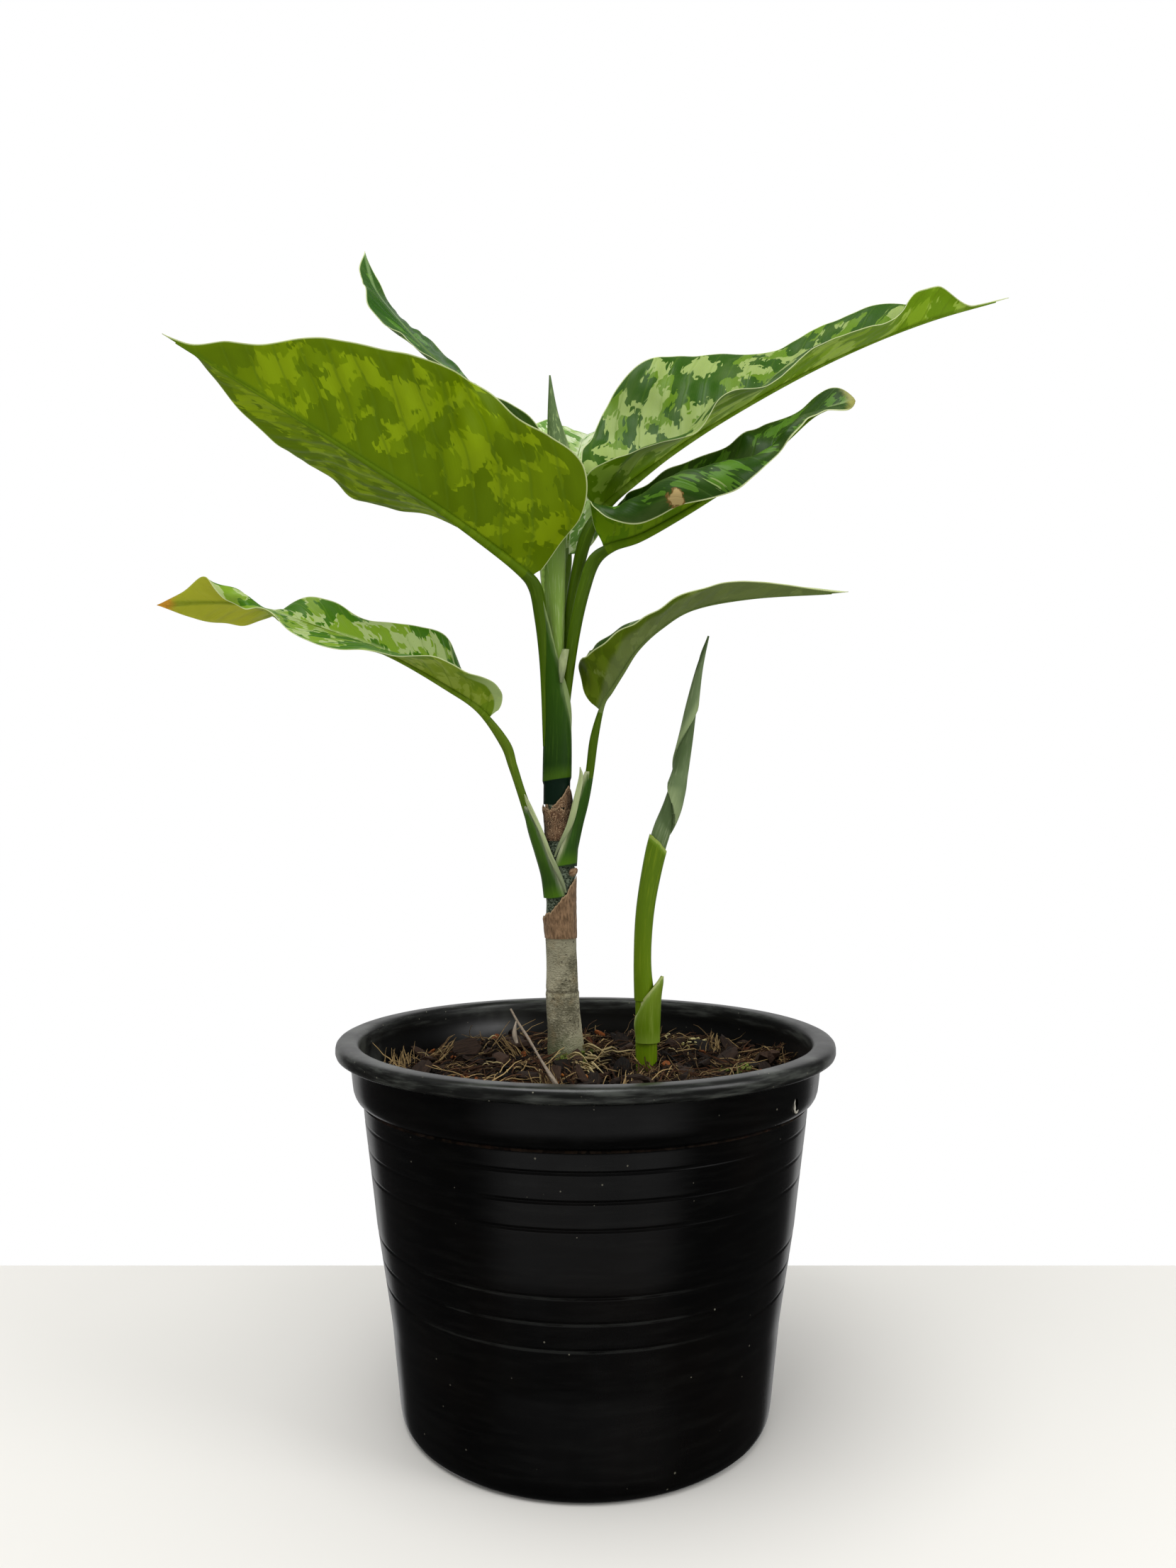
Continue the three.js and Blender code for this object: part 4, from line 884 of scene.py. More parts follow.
def rolled(*laps):
    """Outline of a rolled blade. Each lap (depth, turns, start, low, high) is a free edge that winds
    round the stem between low and high: the radius grows by depth once round and steps back there."""
    def shape(t, angle):
        grown = 1.0
        for depth, turns, start, low, high in laps:
            lap = (angle / TURN - turns * t - start) % 1.0
            present = smooth_step(t, low, low + 0.05) * (1 - smooth_step(t, high - 0.05, high))
            grown = grown + depth * present * (lap ** 1.5 - 0.4)
        return grown
    return shape


def stem_at(stem, height):
    """The axis and the radius of a stem at each height, read from a fine table of its curve."""
    share = np.linspace(0, 1, 300)
    table = np.column_stack([spline(stem["path"], share), spline(stem["radius"], share)])
    return [np.interp(height, table[:, 2], table[:, k]) for k in (0, 1, 3)]


def ring_sheath(stem, facing, foot, height, slant, gap, taper, spread, seed, teeth, point=None, slot=0):
    """Arc round a stem, a gap off it and further by taper at its top. The torn top is the height
    plus a slant that is highest on the right, plus small teeth; a point (angle, height, half width
    in degrees) adds one tall torn tongue. It is a little crinkled."""
    t, w = grid_shares(26, 140)
    angle = np.radians(facing + spread * w)
    torn = 0.5 * np.sin(7 * angle) + 0.35 * np.sin(13 * angle + 1) + 0.3 * np.sin(31 * angle + seed)
    top = height + teeth * torn + slant * np.cos(angle) * np.where(np.cos(angle) > 0, 1, 0.75)
    if point:
        where, tall, narrow = point
        away = np.degrees(np.abs((angle - math.radians(where) + math.pi) % TURN - math.pi))
        top = top + tall * np.clip(1 - away / narrow, 0, 1) ** 1.2
    level = foot + top * t
    x, y, radius = stem_at(stem, level)
    crinkle = 0.1 * teeth * rough(np.stack([3 * angle + 0 * t, level / 2], -1), 2.0, seed, 3)
    lift_off = 0.3 * teeth * t ** 3 * (1 + np.sin(5 * angle + seed))
    inner = radius + gap + taper * t + crinkle + lift_off
    axis = np.stack([x, y, 0 * x], -1)
    maps = {"stem": polar(5, angle, level), "margin": top * (1 - t), "along": t + 0 * angle}
    return wall(axis + polar(inner + PAPER, angle, level), axis + polar(inner, angle, level), maps,
                (slot, slot))


def young_shoot():
    """The offset: its stem below, painted as the ring sheath is, and its rolled blade above."""
    laps = rolled((0.3, 3.8, 0.824, 0.6, 2), (-0.36, -4.2, 0.18, 0.5, 0.68))
    shell = tube(OFFSET_SHOOT["path"], OFFSET_SHOOT["radius"], 96, 360, laps, {"margin": 9})
    corners = np.concatenate([shell["quads"][:, 0], shell["tris"][:, 1]])
    shell["painted"] = (shell["points"][corners, 2] < SHOOT_BLADE_FOOT).astype(int)
    return shell


make("leaf_new_rolled_spike",
     [tube(NEW_LEAF["path"], NEW_LEAF["radius"], 64, 220, rolled((0.26, 1.3, 0, 0.1, 2)))],
     [fleshy_finish("new_leaf", "8cac4c", "5a7044", "bcd08c", (0.45, 0.75), folds=("3c5420", "a4b47c"))],
     "leaf_new_rolled", 35)
make("offset_shoot_stem",
     [young_shoot(),
      ring_sheath(OFFSET_SHOOT, facing=180, foot=138, height=53.5, slant=-3.4, gap=0.08, taper=0.35,
                  spread=179, seed=3, teeth=0.1, slot=1)],
     [fleshy_finish("offset_blade", "566a3c", "60724c", "84926c", (0.5, 0.6),
                    folds=("2c4218", "98a878")),
      fleshy_finish("offset_stem", "5e7a06", "54700c", "7c901c", (0.2, 0.8),
                    ("6c8c24", "8ca048", 1.9, 0))],
     "offset_shoot", 35)
make("offset_shoot_collar", [clasp(OFFSET_SHEATH, 0, 4)],
     [fleshy_finish("offset_collar", "5c780c", "6c8420", "84983c", (0.2, 0.9),
                    ("7c9440", "a0ac68", 1.9, 0), (120.2, "3a5406", "7c9434"))],
     "offset_sheath")


# ---------------------------------------------------------------- cane and dry leaf bases

def cane_shape(t, angle):
    """Radius factor of the cane: a low ridge at each scar with a dip over it, fine wrinkles, and
    the node under the bud, which swells to the right."""
    height = spline([p[2] for p in CANE["path"]], t[:, 0])[:, None]
    shape = np.ones(np.broadcast_shapes(t.shape, angle.shape))
    for number, ring in enumerate(SCAR_HEIGHTS):
        above = height - ring - 0.7 * np.sin(angle + 2.4 * number)
        shape = shape + 0.022 * np.exp(-(above / 0.6) ** 2) - 0.02 * np.exp(-((above - 1.3) / 0.6) ** 2)
    rightward = np.clip(np.cos(angle), 0, 1) ** 2
    shape = shape + NODE_SWELLING * np.exp(-((height - NODE_HEIGHT) / 2.8) ** 2) * rightward
    return shape + 0.014 * rough(polar(6, angle, 1.1 * height), 7, 5, 4)


def bark_finish():
    """Cane: grey-beige bark, granular with dark pits, green algae at its foot, and the green of the
    young stem above the last dry leaf base."""
    material, graph, shader = finish_of("cane_bark", 0.75, Specular_IOR_Level=0.25)
    place = graph.object_place()
    height = graph.parts(place)[2]
    streaks = graph.streaks(graph.attribute("stem", "Vector"), 1.2, 1.6)
    cloud = graph.noise(place, 160.0, 5.0, 0.7)
    broad = graph.scaled(streaks, 0.5, graph.noise(place, 70.0, 3.0, 0.6))
    base = graph.mix(graph.step(broad, 0.58, 0.86), "6e6a54", "bab498")
    base = graph.tint(base, graph.step(height, 0.138, 0.158), "5a5844", 0.35)
    base = graph.tint(base, graph.step(cloud, 0.5, 0.7), "94825c", 0.45)
    pits = graph.specks(place, 700.0, 0.32, 0.3)
    base = graph.tint(base, pits, "4f4a3a", 0.65)
    young = graph.mix(graph.step(streaks, 0.42, 0.62), "2a3624", "74806c")
    base = graph.tint(base, graph.step(graph.scaled(cloud, 0.006, height), 0.163, 0.168), young)
    foot = graph.step(graph.scaled(cloud, 0.016, height), 0.135, 0.121)
    base = graph.tint(base, foot, "59663c", 0.7)
    for ring in SCAR_HEIGHTS:
        off = graph.distance(height, (ring + 1.1) * MM)
        base = graph.tint(base, graph.step(off, 0.0007, 0.0002), "4a4232", 0.4)
    relief = graph.scaled(pits, -0.8, graph.math("ADD", streaks, cloud))
    graph.wire(shader, {"Base Color": base, "Normal": graph.bump(relief, 0.0007, 0.7)})
    return material


def paper_finish(name, dark, light, rim_tone, crackle=0.0):
    """Dry leaf base: brown paper with lengthwise fibres, paler and redder at its torn edge. Crackle
    is how strong the curly pale lines are: the level lines of a noise."""
    material, graph, shader = finish_of(name, 0.8, Specular_IOR_Level=0.2, Sheen_Weight=0.1)
    stem = graph.attribute("stem", "Vector")
    wrinkles = graph.streaks(stem, 1.5, 0.25)
    cloud = graph.noise(graph.object_place(), 240.0, 3.0, 0.6)
    base = graph.mix(graph.step(wrinkles, 0.25, 0.72), dark, light)
    base = graph.tint(base, graph.step(cloud, 0.52, 0.66), dark, 0.4)
    level = graph.math("FRACT", graph.scaled(graph.noise(stem, 0.3, 2.0), 14.0))
    base = graph.tint(base, graph.step(graph.distance(level, 0.5), 0.2, 0.05), rim_tone, crackle)
    base = graph.tint(base, graph.step(graph.attribute("margin"), 0.9, 0.1), rim_tone, 0.8)
    relief = graph.scaled(cloud, 0.3, wrinkles)
    graph.wire(shader, {"Base Color": base, "Normal": graph.bump(relief, 0.0008, 0.7)})
    return material


make("cane_stem", [tube(CANE["path"], CANE["radius"], 96, 480, cane_shape)], [bark_finish()],
     "cane", 40)
make("dry_sheath_tan",
     [ring_sheath(CANE, facing=0, foot=157.2, height=13, slant=8, gap=0.15, taper=0.8, spread=178,
                  seed=2, teeth=0.6, point=(350, 1, 22))],
     [paper_finish("paper_tan", "5c4630", "a08060", "b89c78")],
     "dry_sheath_lower", 40)
make("dry_sheath_brown",
     [ring_sheath(CANE, facing=210, foot=191.6, height=11.2, slant=-0.7, gap=0.2, taper=0.1,
                  spread=120, seed=5, teeth=1.0, point=(215, 1.6, 14)),
      ring_sheath(CANE, facing=285, foot=192.4, height=10.6, slant=0.6, gap=0.55, taper=0.1,
                  spread=70, seed=8, teeth=1.0),
      ring_sheath(CANE, facing=306, foot=203.3, height=0.7, slant=0, gap=1.05, taper=0.1,
                  spread=54, seed=11, teeth=0.3, point=(318, 6.9, 60))],
     [paper_finish("paper_brown", "342214", "6c5038", "ac9070", 0.7)],
     "dry_sheath_upper", 40)
make("cane_bud",
     [tube([(-5.8, 3, 179.6), (-4.4, 2.2, 180.6), (-3.2, 1.8, 181.9)], (0.7, 1.35, 0.5), 16, 24,
           lambda t, angle: 1 + 0.15 * np.sin(3 * angle + 9 * t), maps={"margin": 9})],
     [paper_finish("bud_scales", "6a4a30", "a88c6c", "d0bfa0")])


# ---------------------------------------------------------------- pot

def body_radius(height):
    """Outside radius of the pot's body with its turned grooves, each a cosine dip."""
    radius = np.interp(height, [z for _, z in BODY_OUTLINE], [r for r, _ in BODY_OUTLINE])
    for groove in GROOVE_HEIGHTS:
        off = np.clip(np.abs(height - groove) / GROOVE_HALF_WIDTH, 0, 1)
        radius = radius - GROOVE_DEPTH * (0.5 + 0.5 * np.cos(np.pi * off))
    return radius


def lathe(outline, sides, uneven=None):
    """Closed outline of (radius, height) turned about Z, from a pole to a pole."""
    angle = np.arange(sides) * TURN / sides
    ring = np.asarray(outline[1:-1], float)
    z = ring[:, 1:]
    radius = ring[:, :1] + (uneven(angle, z) if uneven else 0)
    points = polar(radius, angle, z).reshape(-1, 3)
    ends = [[0, 0, outline[0][1]], [0, 0, outline[-1][1]]]
    quads, tris = capped(len(ring), sides)
    return dict(points=np.concatenate([points, ends]), quads=quads, tris=tris,
                painted=np.zeros(len(quads) + len(tris)), maps={})


def pot_shell():
    """The pot's outline, turned. A thin moulding is never quite round: its radius has two and three
    slow waves round it, a tenth of a millimetre high."""
    plain = np.arange(4.0, 104.4, 1.6)
    near = np.concatenate([np.linspace(g - 0.9, g + 0.9, 9) for g in GROOVE_HEIGHTS])
    far = plain[np.min(np.abs(plain[:, None] - np.array(GROOVE_HEIGHTS)), axis=1) > 1.2]
    heights = np.sort(np.concatenate([far, near, [104.4]]))
    body = list(zip(body_radius(heights), heights))
    outline = FOOT_OUTLINE + body + COLLAR_OUTLINE + LIP_OUTLINE + INSIDE_OUTLINE
    return lathe(outline, 192, lambda angle, z: smooth_step(z, 2, 30) * (
        0.10 * np.sin(2 * angle + 0.6 + 0.02 * z) + 0.07 * np.sin(3 * angle + 2 - 0.03 * z)))


def pot_finish():
    """Black moulded plastic: faint brown clouds, a grey on the lip that is partly scuffs and partly
    painted light, a painted highlight along the front of the three low grooves, dust haze inside
    over the soil, and pale dust specks, most of them on the lip."""
    material, graph, shader = finish_of("pot_plastic", 0.4, Specular_IOR_Level=0.4)
    place = graph.object_place()
    parts = graph.parts(place)

    def drawn_out(along_z, *settings):
        return graph.noise(graph.vector("MULTIPLY", place, (1.0, 1.0, along_z)), *settings)

    cloud = graph.noise(place, 22.0, 4.0, 0.6)
    base = graph.mix(graph.step(cloud, 0.4, 0.7), "020202", "060403")
    long_noise = drawn_out(8.0, 60.0, 5.0, 0.6)
    # On the lip the grey tone is partly scuffs and partly painted light on the lit lip, all round it.
    lip = graph.step(parts[2], 0.1185, 0.1215)
    scuffs_and_painted_highlights = graph.scaled(graph.step(long_noise, 0.42, 0.75), graph.scaled(lip, 0.36, 0.014))
    # Painted highlight: a pale line just below each of the three low grooves, on the front only, where the
    # groove's lower edge would catch the light.
    in_front = graph.scaled(graph.step(parts[0], -0.056, -0.034), graph.step(parts[0], 0.042, 0.018))
    for groove in GROOVE_HEIGHTS[:3]:
        off = graph.distance(parts[2], (groove - 0.35) * MM)
        groove_highlight = graph.scaled(graph.step(off, 0.00045, 0.0001), graph.step(long_noise, 0.4, 0.55))
        scuffs_and_painted_highlights = graph.scaled(graph.scaled(groove_highlight, in_front), 0.07, scuffs_and_painted_highlights)
    base = graph.tint(base, graph.scaled(lip, 0.04, scuffs_and_painted_highlights), "6a6e68")
    radius = graph.length(graph.joined(parts[0], parts[1]))
    inside = graph.scaled(graph.step(radius, 0.0779, 0.0774), graph.step(parts[2], 0.1095, 0.1105))
    leftward = graph.scaled(inside, graph.step(parts[0], -0.02, -0.05))
    base = graph.tint(base, graph.scaled(leftward, graph.step(cloud, 0.45, 0.66)), "4a4c46")
    dust = graph.specks(place, 420.0, 0.08, 0.13)
    fine = graph.specks(place, 900.0, 0.16, 0.2)
    patchy = graph.step(graph.noise(place, 35.0, 3.0, 0.6), 0.45, 0.62)
    on_lip = graph.scaled(fine, graph.scaled(lip, patchy))
    specks = graph.math("MAXIMUM", graph.scaled(dust, 0.3), on_lip)
    duller = graph.scaled(lip, 0.06, graph.scaled(inside, 0.12, 0.12))
    rubbed = graph.scaled(drawn_out(0.35, 45.0, 5.0, 0.65), 0.24, duller)
    relief = graph.scaled(fine, 0.05, drawn_out(0.5, 30.0, 3.0))
    graph.wire(shader, {"Base Color": graph.tint(base, specks, "a39f8c"),
                        "Roughness": graph.scaled(specks, 0.3, rubbed),
                        "Normal": graph.bump(relief, 0.0006, 0.3)})
    return material


def plain_finish(name, tone, roughness):
    """An even colour."""
    material, _, shader = finish_of(name, roughness, Specular_IOR_Level=0.15)
    shader["Base Color"].default_value = colour(tone)
    return material


def hanger_burr():
    """Rough pale edge left by the punch, round the left and the bottom of the hanger hole."""
    turn = math.radians(HANGER_HOLE["angle"])
    aside = polar(1, turn + QUARTER)
    centre = polar(HANGER_HOLE["from_axis"], turn, HANGER_HOLE["height"])
    spots = [(-1.1, 2.1), (-1.35, 0.2), (-1.1, -1.7), (0.1, -2.2), (1.2, -1.7)]
    path = [centre + aside * a + np.array([0, 0, b]) for a, b in spots]
    return tube(path, (0.12, 0.3, 0.32, 0.3, 0.1), 10, 30,
                lambda t, angle: 1 + 0.25 * np.sin(23 * t + 2 * angle))


def drilled(piece):
    """Cuts the drain holes and the punched hanger hole with one boolean, and applies it."""
    punches = []
    for k in range(DRAIN["count"]):
        angle = TURN * (k + 0.5) / DRAIN["count"]
        ends = [polar(DRAIN["ring"], angle, z) for z in (-3, 3 * FLOOR)]
        punches.append(tube(ends, (DRAIN["radius"],) * 2, 32, 1))
    turn = math.radians(HANGER_HOLE["angle"])
    ends = [polar(radius, turn, HANGER_HOLE["height"]) for radius in (72, 83)]
    punches.append(tube(ends, (HANGER_HOLE["radius"],) * 2, 24, 1,
                        lambda t, angle: 1 + 0.45 * np.cos(angle) ** 4 + 0 * t))
    cutter = make("punches", punches, [piece.data.materials[0]])
    cut = piece.modifiers.new("holes", "BOOLEAN")
    cut.operation = "DIFFERENCE"
    cut.solver = "EXACT"
    cut.object = cutter
    bpy.context.view_layer.update()
    shaped = bpy.data.meshes.new_from_object(piece.evaluated_get(bpy.context.evaluated_depsgraph_get()))
    piece.modifiers.clear()
    old = piece.data
    piece.data = shaped
    bpy.data.objects.remove(cutter)
    bpy.data.meshes.remove(old)
    shaped.polygons.foreach_set("use_smooth", np.ones(len(shaped.polygons), dtype=bool))
    shaped.set_sharp_from_angle(angle=math.radians(50))


drilled(make("pot_moulding", [pot_shell()], [pot_finish()], "pot"))
make("pot_hanger_hole_burr", [hanger_burr()], [plain_finish("burr", "a8a49a", 0.7)])


# ---------------------------------------------------------------- soil

def ground(x, y):
    """Top of the soil: slow waves, a low mound round the cane, seeded roughness, and a hollow
    along the pot's wall that is deepest at the back left."""
    lumps = (np.sin(0.17 * x + 1.1) * np.cos(0.15 * y - 0.6) + 0.6 * np.sin(0.31 * x - 0.23 * y + 2)
             + 0.45 * np.sin(0.47 * y + 0.38 * x))
    from_cane = np.hypot(x - CANE_FOOT[0], y - CANE_FOOT[1])
    mound = SOIL_MOUND * np.exp(-(from_cane / SOIL_MOUND_SPREAD) ** 2)
    hollow = smooth_step(np.hypot(x, y), 52, 76) * (2.6 + 0.022 * (y - x))
    return SOIL_TOP + SOIL_LUMP * lumps + mound - hollow + 1.3 * rough(np.stack([x, y], -1), 14, 3, 5)


def soil_ground():
    """Disc of soil with a skirt and a flat bottom: the rings of a lathe lifted to the ground."""
    radii = np.concatenate([[0], np.linspace(0.6, SOIL_EDGE, 110), [SOIL_EDGE, 70.0, 0]])
    heights = np.concatenate([np.full(111, float(SOIL_TOP)), [SOIL_TOP - 8, SOIL_TOP - 9, SOIL_TOP - 9]])
    outline = list(zip(radii, heights))[::-1]
    shell = lathe(outline, 220)
    points = shell["points"]
    top = points[:, 2] == SOIL_TOP
    points[top, 2] = ground(points[top, 0], points[top, 1])
    return shell


def scattered(draw, count, reach):
    """Seeded places on the soil, evenly over a disc, kept off the stems."""
    radius = reach * np.sqrt(draw.uniform(0, 1, count * 2))
    angle = draw.uniform(0, TURN, count * 2)
    x, y = radius * np.cos(angle), radius * np.sin(angle)
    free = np.ones(len(x), dtype=bool)
    for (stem_x, stem_y), room in STEM_ROOM:
        free &= np.hypot(x - stem_x, y - stem_y) > room
    return x[free][:count], y[free][:count]


def gathered(draw, spots, count, spread):
    """Seeded places gathered round the spots, and the spot that each one belongs to."""
    pick = np.array(spots, float)[draw.integers(0, len(spots), count)]
    return pick[:, 0] + draw.normal(0, spread, count), pick[:, 1] + draw.normal(0, spread, count), pick


def repeated(faces, count, size):
    """The faces of one bit, over again for each of count bits of size points."""
    return (faces[None] + size * np.arange(count)[:, None, None]).reshape(-1, faces.shape[1])


def chips(seed, count, length, width, thick, tilt=0.35, sunk=0.2, reach=73.0, spots=None, spread=4.0,
          stand=None):
    """Bits of bark and crumbs: a cube of 26 points with its corners drawn in, each point shifted
    at random, scaled to the drawn size and turned. Stand gives one set of directions for all."""
    draw = np.random.default_rng(seed)
    x, y = gathered(draw, spots, count, spread)[:2] if spots else scattered(draw, count, reach)
    steps = np.array([-1.0, 0.0, 1.0])
    cube = np.stack(np.meshgrid(steps, steps, steps, indexing="ij"), -1)
    outer = np.abs(cube).max(-1) == 1
    index = np.full((3, 3, 3), -1)
    index[outer] = np.arange(26)
    faces = []
    for axis in range(3):
        for end in (0, 2):
            layer = np.moveaxis(index, axis, 0)[end]
            square = [layer[:-1, :-1], layer[1:, :-1], layer[1:, 1:], layer[:-1, 1:]]
            quads = np.stack(square, -1).reshape(-1, 4)
            faces.append(quads[:, ::-1] if (end == 2) == (axis == 1) else quads)
    base = cube[outer]
    base = base * (1 - 0.16 * (np.abs(base).sum(-1, keepdims=True) - 1))
    shifted = base[None] + draw.uniform(-0.22, 0.22, (count, 26, 3))
    size = np.stack([draw.uniform(*span, count) for span in (length, width, thick)], -1)
    local = shifted * size[:, None] / 2
    heading = draw.uniform(0, TURN, count)
    slope, roll = draw.normal(0, tilt, count), draw.normal(0, tilt, count)
    along = polar(np.cos(slope), heading, np.sin(slope))
    level = polar(1, heading + QUARTER)
    side = level * np.cos(roll)[:, None] + np.cross(along, level) * np.sin(roll)[:, None]
    if stand:
        along, side = np.tile(stand[0], (count, 1)), np.tile(stand[1], (count, 1))
    up = np.cross(along, side)
    place = np.stack([x, y, ground(x, y) + size[:, 2] * (0.5 - sunk)], -1)
    points = (place[:, None] + local[..., :1] * along[:, None] + local[..., 1:2] * side[:, None]
              + local[..., 2:] * up[:, None])
    radius = np.hypot(points[..., 0], points[..., 1])
    points[..., :2] *= np.minimum(1, SOIL_EDGE / np.maximum(radius, 1e-6))[..., None]
    quads = repeated(np.concatenate(faces), count, 26)
    shade = np.repeat(draw.uniform(0, 1, count), 26)
    return dict(points=points.reshape(-1, 3), quads=quads, painted=np.zeros(len(quads)),
                maps={"shade": shade[:, None], "stem": local.reshape(-1, 3)})


def fibres(seed, count, length, thick, arch=1.0, bend=0.2, climb=0.15, reach=73.0, clumps=None,
           spread=3.0):
    """Coir strands: three-sided tubes along parabolas that bend sideways, arch up and climb. Those
    of a clump (x, y, heading, slope in degrees) lie or stand together."""
    draw = np.random.default_rng(seed)
    heading = draw.uniform(0, TURN, count)
    slope = np.abs(draw.normal(0, climb, count))
    if clumps:
        x, y, pick = gathered(draw, clumps, count, spread)
        heading = np.radians(pick[:, 2]) + draw.normal(0, 0.35, count)
        slope = np.radians(pick[:, 3]) * draw.uniform(0.4, 1.2, count)
    else:
        x, y = scattered(draw, count, reach)
    run = draw.uniform(*length, count)
    sideways, tall = draw.normal(0, bend, count), np.abs(draw.normal(0, arch, count))
    s = np.linspace(0, 1, 7)[None]
    ahead = s * (run * np.cos(slope))[:, None]
    aside = (sideways * run)[:, None] * s ** 2 + 0.02 * run[:, None] * np.sin(9 * s + heading[:, None])
    px = x[:, None] + ahead * np.cos(heading)[:, None] - aside * np.sin(heading)[:, None]
    py = y[:, None] + ahead * np.sin(heading)[:, None] + aside * np.cos(heading)[:, None]
    squeeze = np.minimum(1, FIBRE_EDGE / np.maximum(np.hypot(px, py), 1e-6))
    px, py = px * squeeze, py * squeeze
    rise = s * (run * np.sin(slope))[:, None] + tall[:, None] * 4 * s * (1 - s)
    pz = ground(px, py) * (1 - s * 0.6) + ground(x, y)[:, None] * s * 0.6 + 0.15 + rise
    path = np.stack([px, py, pz], -1)
    forward = unit(np.gradient(path, axis=1))
    side = unit(np.cross(forward, [0.31, 0.22, 0.93]))
    up = np.cross(side, forward)
    radius = (draw.uniform(*thick, count)[:, None] * (0.45 + 0.55 * (1 - s ** 3)))[..., None]
    corners = [np.cos(k * TURN / 3) * side + np.sin(k * TURN / 3) * up for k in range(3)]
    points = np.stack([path + radius * corner for corner in corners], 2)
    quads = repeated(grid_faces(7, 3, closed=True, back=True), count, 21)
    tris = repeated(np.array([[0, 1, 2], [20, 19, 18]]), count, 21)
    shade = np.repeat(draw.uniform(0, 1, count), 21)
    return dict(points=points.reshape(-1, 3), quads=quads, tris=tris,
                painted=np.zeros(len(quads) + len(tris)), maps={"shade": shade[:, None]})


def litter_finish(name, dark, light, roughness=0.85, scale=400.0, streaky=False):
    """Bark, crumbs or fibres: each piece has its own shade between two tones, with grain."""
    material, graph, shader = finish_of(name, roughness, Specular_IOR_Level=0.25)
    if streaky:
        drawn = graph.vector("MULTIPLY", graph.attribute("stem", "Vector"), (0.15, 1.0, 1.0))
        grain = graph.streaks(drawn, 1.5, 1.0)
    else:
        grain = graph.noise(graph.object_place(), scale, 4.0, 0.65)
    offset = graph.math("SUBTRACT", grain, 0.5)
    share = graph.math("MULTIPLY_ADD", offset, 1.1, graph.attribute("shade"), clamp=True)
    graph.wire(shader, {"Base Color": graph.mix(share, dark, light),
                        "Normal": graph.bump(grain, 0.0006, 0.8)})
    return material


def ground_finish():
    """Damp potting mix: near-black crumbs with brown and reddish ones."""
    material, graph, shader = finish_of("soil_ground", 0.95, Specular_IOR_Level=0.15)
    place = graph.object_place()
    crumbs = graph.put("ShaderNodeTexVoronoi", {"Vector": place, "Scale": 420.0}).outputs
    tone = graph.put("ShaderNodeSeparateColor", {0: crumbs["Color"]}).outputs[0]
    cloud = graph.noise(place, 80.0, 4.0, 0.65)
    base = graph.mix(tone, "050302", "1e140b")
    reddish = graph.tint(base, graph.step(cloud, 0.52, 0.68), "2a160c", 0.5)
    relief = graph.scaled(cloud, 0.8, graph.scaled(crumbs["Distance"], -0.8))
    graph.wire(shader, {"Base Color": reddish, "Normal": graph.bump(relief, 0.0018, 0.9)})
    return material


# clumps of coir: place on the soil in millimetres, heading and slope in degrees
STUBS = [(-69, -3, 70, 62), (-65, 7, 110, 55), (-56, 16, 40, 35), (-12, -36, 250, 55), (30, -30, 290, 45),
         (-24, 16, 150, 50), (47, 26, 80, 75), (12, -34, 60, 40)]
MATS = [(4, 32, 30, 12), (12, 14, -20, 14), (14, -28, 70, 20), (26, -22, 120, 25), (38, -26, 10, 8),
        (54, 6, 15, 20), (60, -8, 170, 12), (62, 16, 30, 22), (-8, -26, 100, 20), (-34, -30, 20, 12),
        (30, 42, 0, 12), (-14, 50, 30, 8), (-20, -8, 60, 18), (46, -16, 200, 14), (-50, -10, 15, 14)]

make("soil_ground", [soil_ground()], [ground_finish()], "soil")
make("soil_crumbs", [chips(11, 2600, (0.8, 2.6), (0.7, 2.0), (0.6, 1.6), tilt=0.6)],
     [litter_finish("crumbs", "060402", "2c1e12")], crease=30)
make("soil_bark",
     [chips(12, 90, (5, 13), (3, 7), (1.2, 3.2), tilt=0.45, sunk=-0.1, reach=69),
      chips(13, 1, (9.5, 9.6), (8.4, 8.5), (1.6, 1.7), spots=[(-42, 3)], spread=0.1, sunk=-2.1,
            stand=((0.97, 0.1, 0.2), (-0.1, 0.5, 0.86))),
      chips(19, 12, (8, 16), (3, 6), (1.5, 3), tilt=0.25, sunk=-0.4, spread=3.0,
            spots=[(2, -32), (14, -31), (28, -33), (-20, -30)])],
     [litter_finish("bark_chips", "0a0604", "3c2a1e", 0.8, streaky=True)], crease=30)
make("soil_chips_red",
     [chips(14, 40, (2, 6), (1.5, 3.5), (0.8, 1.8), tilt=0.5, sunk=-0.2, reach=71),
      chips(15, 60, (1, 3), (0.6, 1.6), (0.4, 1.0), tilt=0.6, sunk=-0.6, spots=[(-40, -24), (-36, -30)])],
     [litter_finish("red_chips", "3c1c0c", "8a4c20", streaky=True)], crease=30)
make("soil_coir_dark",
     [fibres(21, 520, (5, 18), (0.12, 0.3), arch=0.7),
      fibres(25, 420, (6, 15), (0.15, 0.4), arch=0.7, clumps=MATS, spread=4.5)],
     [litter_finish("coir_dark", "0e0703", "4a2e18")])
make("soil_coir_tan",
     [fibres(22, 190, (6, 22), (0.1, 0.24), arch=0.8, bend=0.06, climb=0.3),
      fibres(23, 210, (5, 16), (0.1, 0.26), arch=0.9, bend=0.1, clumps=MATS, spread=4.5),
      fibres(26, 170, (4, 10), (0.12, 0.3), arch=0.3, bend=0.1, clumps=STUBS)],
     [litter_finish("coir_tan", "3c2814", "a88e60")])
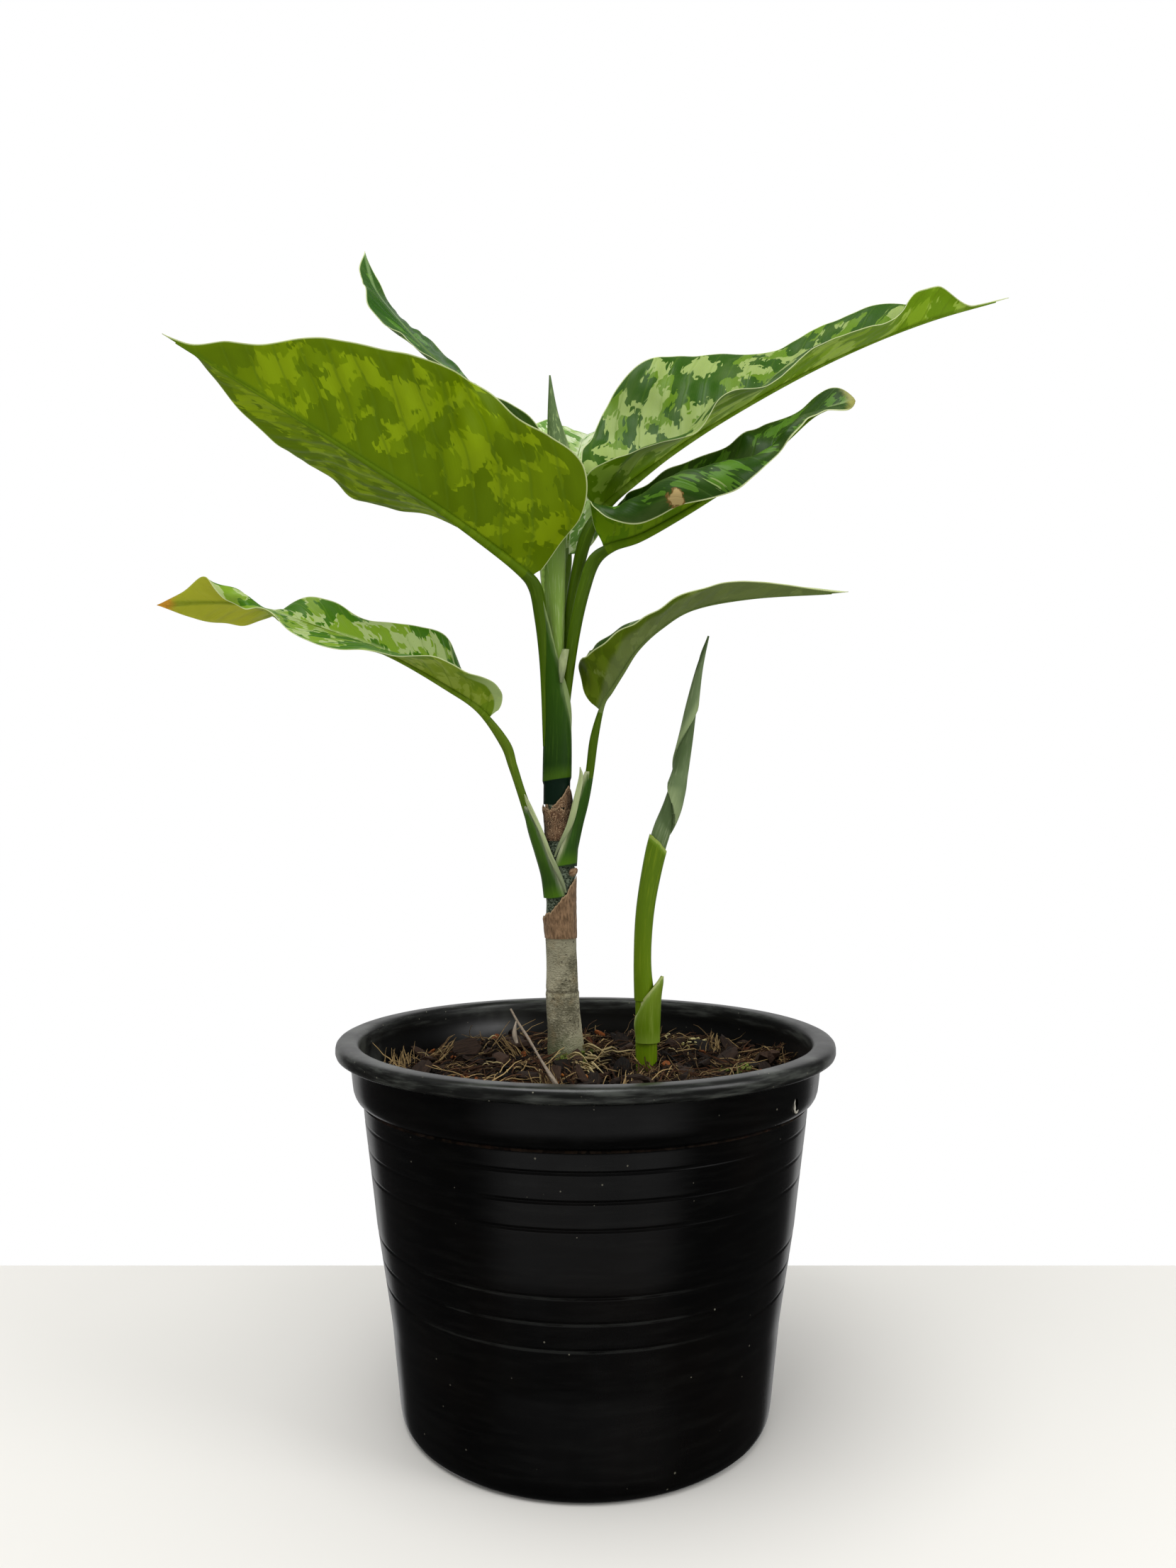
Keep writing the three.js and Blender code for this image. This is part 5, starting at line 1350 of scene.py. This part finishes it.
make("soil_roots_pale",
     [fibres(24, 60, (3, 9), (0.15, 0.4), arch=1.2, climb=0.3, reach=68),
      fibres(27, 26, (5, 12), (0.3, 0.6), arch=1.5, clumps=[(-2, -6, -40, 10), (-2, 2, -10, 12)])],
     [litter_finish("roots", "6c5c3c", "ac9c70")])
make("soil_moss",
     [chips(16, 130, (0.6, 2.2), (0.5, 1.6), (0.4, 1.2), tilt=0.7, sunk=-0.7, spots=[(53, -10), (-6, 0)])],
     [litter_finish("moss", "2a3410", "6c7a30")], crease=30)
make("soil_lichen",
     [chips(17, 46, (0.8, 2.6), (0.6, 1.8), (0.3, 0.8), tilt=0.6, sunk=-2.2, spots=[(40, 38)])],
     [litter_finish("lichen", "7c7440", "cfc48c")], crease=30)
make("soil_seeds",
     [chips(18, 9, (1.2, 2.2), (1.2, 2.0), (1.2, 2.0), sunk=-0.3, spots=[(-6, -27)], spread=3.0)],
     [litter_finish("seeds", "6a3a14", "b06c2c")], crease=80)


def straw_shape(t, angle):
    """Straw: round, but flattened and ragged in its lower middle."""
    ragged = np.exp(-((t - 0.3) / 0.12) ** 2)
    return 1 + ragged * (0.5 * np.cos(2 * angle + 9 * t) + 0.2 * np.sin(5 * angle + 40 * t))


make("straw_stalk",
     [tube(STRAW["path"], STRAW["radius"], 24, 160, straw_shape, maps={"shade": 0.45}),
      tube([(-22.2, -29.6, 127), (-22.9, -29.4, 130), (-22.4, -29.2, 134)], (0.5, 0.75, 0.15), 12, 30,
           maps={"shade": 1.0})],
     [litter_finish("straw", "5c5044", "a89a88", 0.75, 900.0)], "straw")


# ---------------------------------------------------------------- floor, light and camera

def stage_floor():
    """Plain pale board that ends a little behind the pot."""
    across, front, back, deep = 2.5, -2.5, 0.119, 0.03
    outline = ((-across, front), (across, front), (across, back), (-across, back))
    corners = [(x, y, z) for z in (-deep, 0) for x, y in outline]
    faces = [(3, 2, 1, 0), (4, 5, 6, 7), (0, 1, 5, 4), (1, 2, 6, 5), (2, 3, 7, 6), (3, 0, 4, 7)]
    mesh = bpy.data.meshes.new("floor")
    mesh.from_pydata(corners, [], faces)
    mesh.materials.append(plain_finish("floor", "e4e2dd", 0.6))
    floor = bpy.data.objects.new("floor", mesh)
    bpy.context.collection.objects.link(floor)
    floor.visible_glossy = False


def panel_light(name, place, target, size, power):
    """Rectangular soft light that faces a target."""
    light = bpy.data.lights.new(name, "AREA")
    light.shape = "RECTANGLE"
    light.size, light.size_y = size
    light.energy = power
    lamp = bpy.data.objects.new(name, light)
    lamp.location = place
    away = np.array(place, float) - np.array(target, float)
    flat = math.hypot(away[0], away[1])
    lamp.rotation_euler = (math.atan2(flat, away[2]), 0, math.atan2(away[0], -away[1]))
    bpy.context.collection.objects.link(lamp)


def soft_light():
    """White surroundings. Shiny surfaces mirror a bright backdrop, 40 degrees to either side of
    straight behind, a soft glow low in front, and a dim room; the rest of the light is even, with
    one soft panel overhead and a weaker one on the right."""
    world = bpy.data.worlds.new("surroundings")
    world.use_nodes = True
    graph = Graph(world.node_tree)
    rays = graph.put("ShaderNodeLightPath", {}).outputs
    way = graph.parts(graph.put("ShaderNodeTexCoord", {}).outputs["Generated"])
    backdrop = graph.step(way[1], 0.72, 0.80)
    above = graph.scaled(graph.step(way[2], 0.0, 1.0), 0.2, 0.03)
    low = graph.scaled(graph.step(way[2], -0.62, -0.5), graph.step(way[2], -0.28, -0.42))
    glow = graph.scaled(low, graph.step(way[1], -0.45, -0.75))
    mirrored = graph.scaled(backdrop, 0.55, graph.scaled(glow, 0.4, above))
    even = graph.scaled(rays["Is Camera Ray"], 0.3, 0.7)
    shown = graph.scaled(even, graph.math("SUBTRACT", 1.0, rays["Is Glossy Ray"]))
    graph.wire(world.node_tree.nodes["Background"].inputs, {
        "Strength": graph.scaled(mirrored, rays["Is Glossy Ray"], shown), "Color": (1, 1, 1, 1)})
    bpy.context.scene.world = world
    panel_light("overhead", (-0.25, -0.35, 1.5), (0, 0, 0.2), (0.9, 0.9), 13)
    panel_light("right_side", (0.9, -0.5, 0.7), (0, 0, 0.2), (0.4, 0.6), 4)


PHOTO_HEIGHT = 2212
FOCAL_PIXELS = 1600
SENSOR = 36.0


def photo_camera():
    """The photograph's view: 397 mm in front of the pot's axis, 196 mm up, tilted up 2.18 degrees."""
    data = bpy.data.cameras.new("camera")
    data.sensor_width = SENSOR
    data.lens = FOCAL_PIXELS / PHOTO_HEIGHT * SENSOR
    data.clip_start = 0.01
    camera = bpy.data.objects.new("camera", data)
    camera.location = (0.77 * MM, -397.4 * MM, 196.4 * MM)
    camera.rotation_euler = (math.radians(92.18), 0, 0)
    bpy.context.collection.objects.link(camera)
    bpy.context.scene.camera = camera


stage_floor()
soft_light()
photo_camera()
bpy.context.scene.view_settings.view_transform = "Standard"
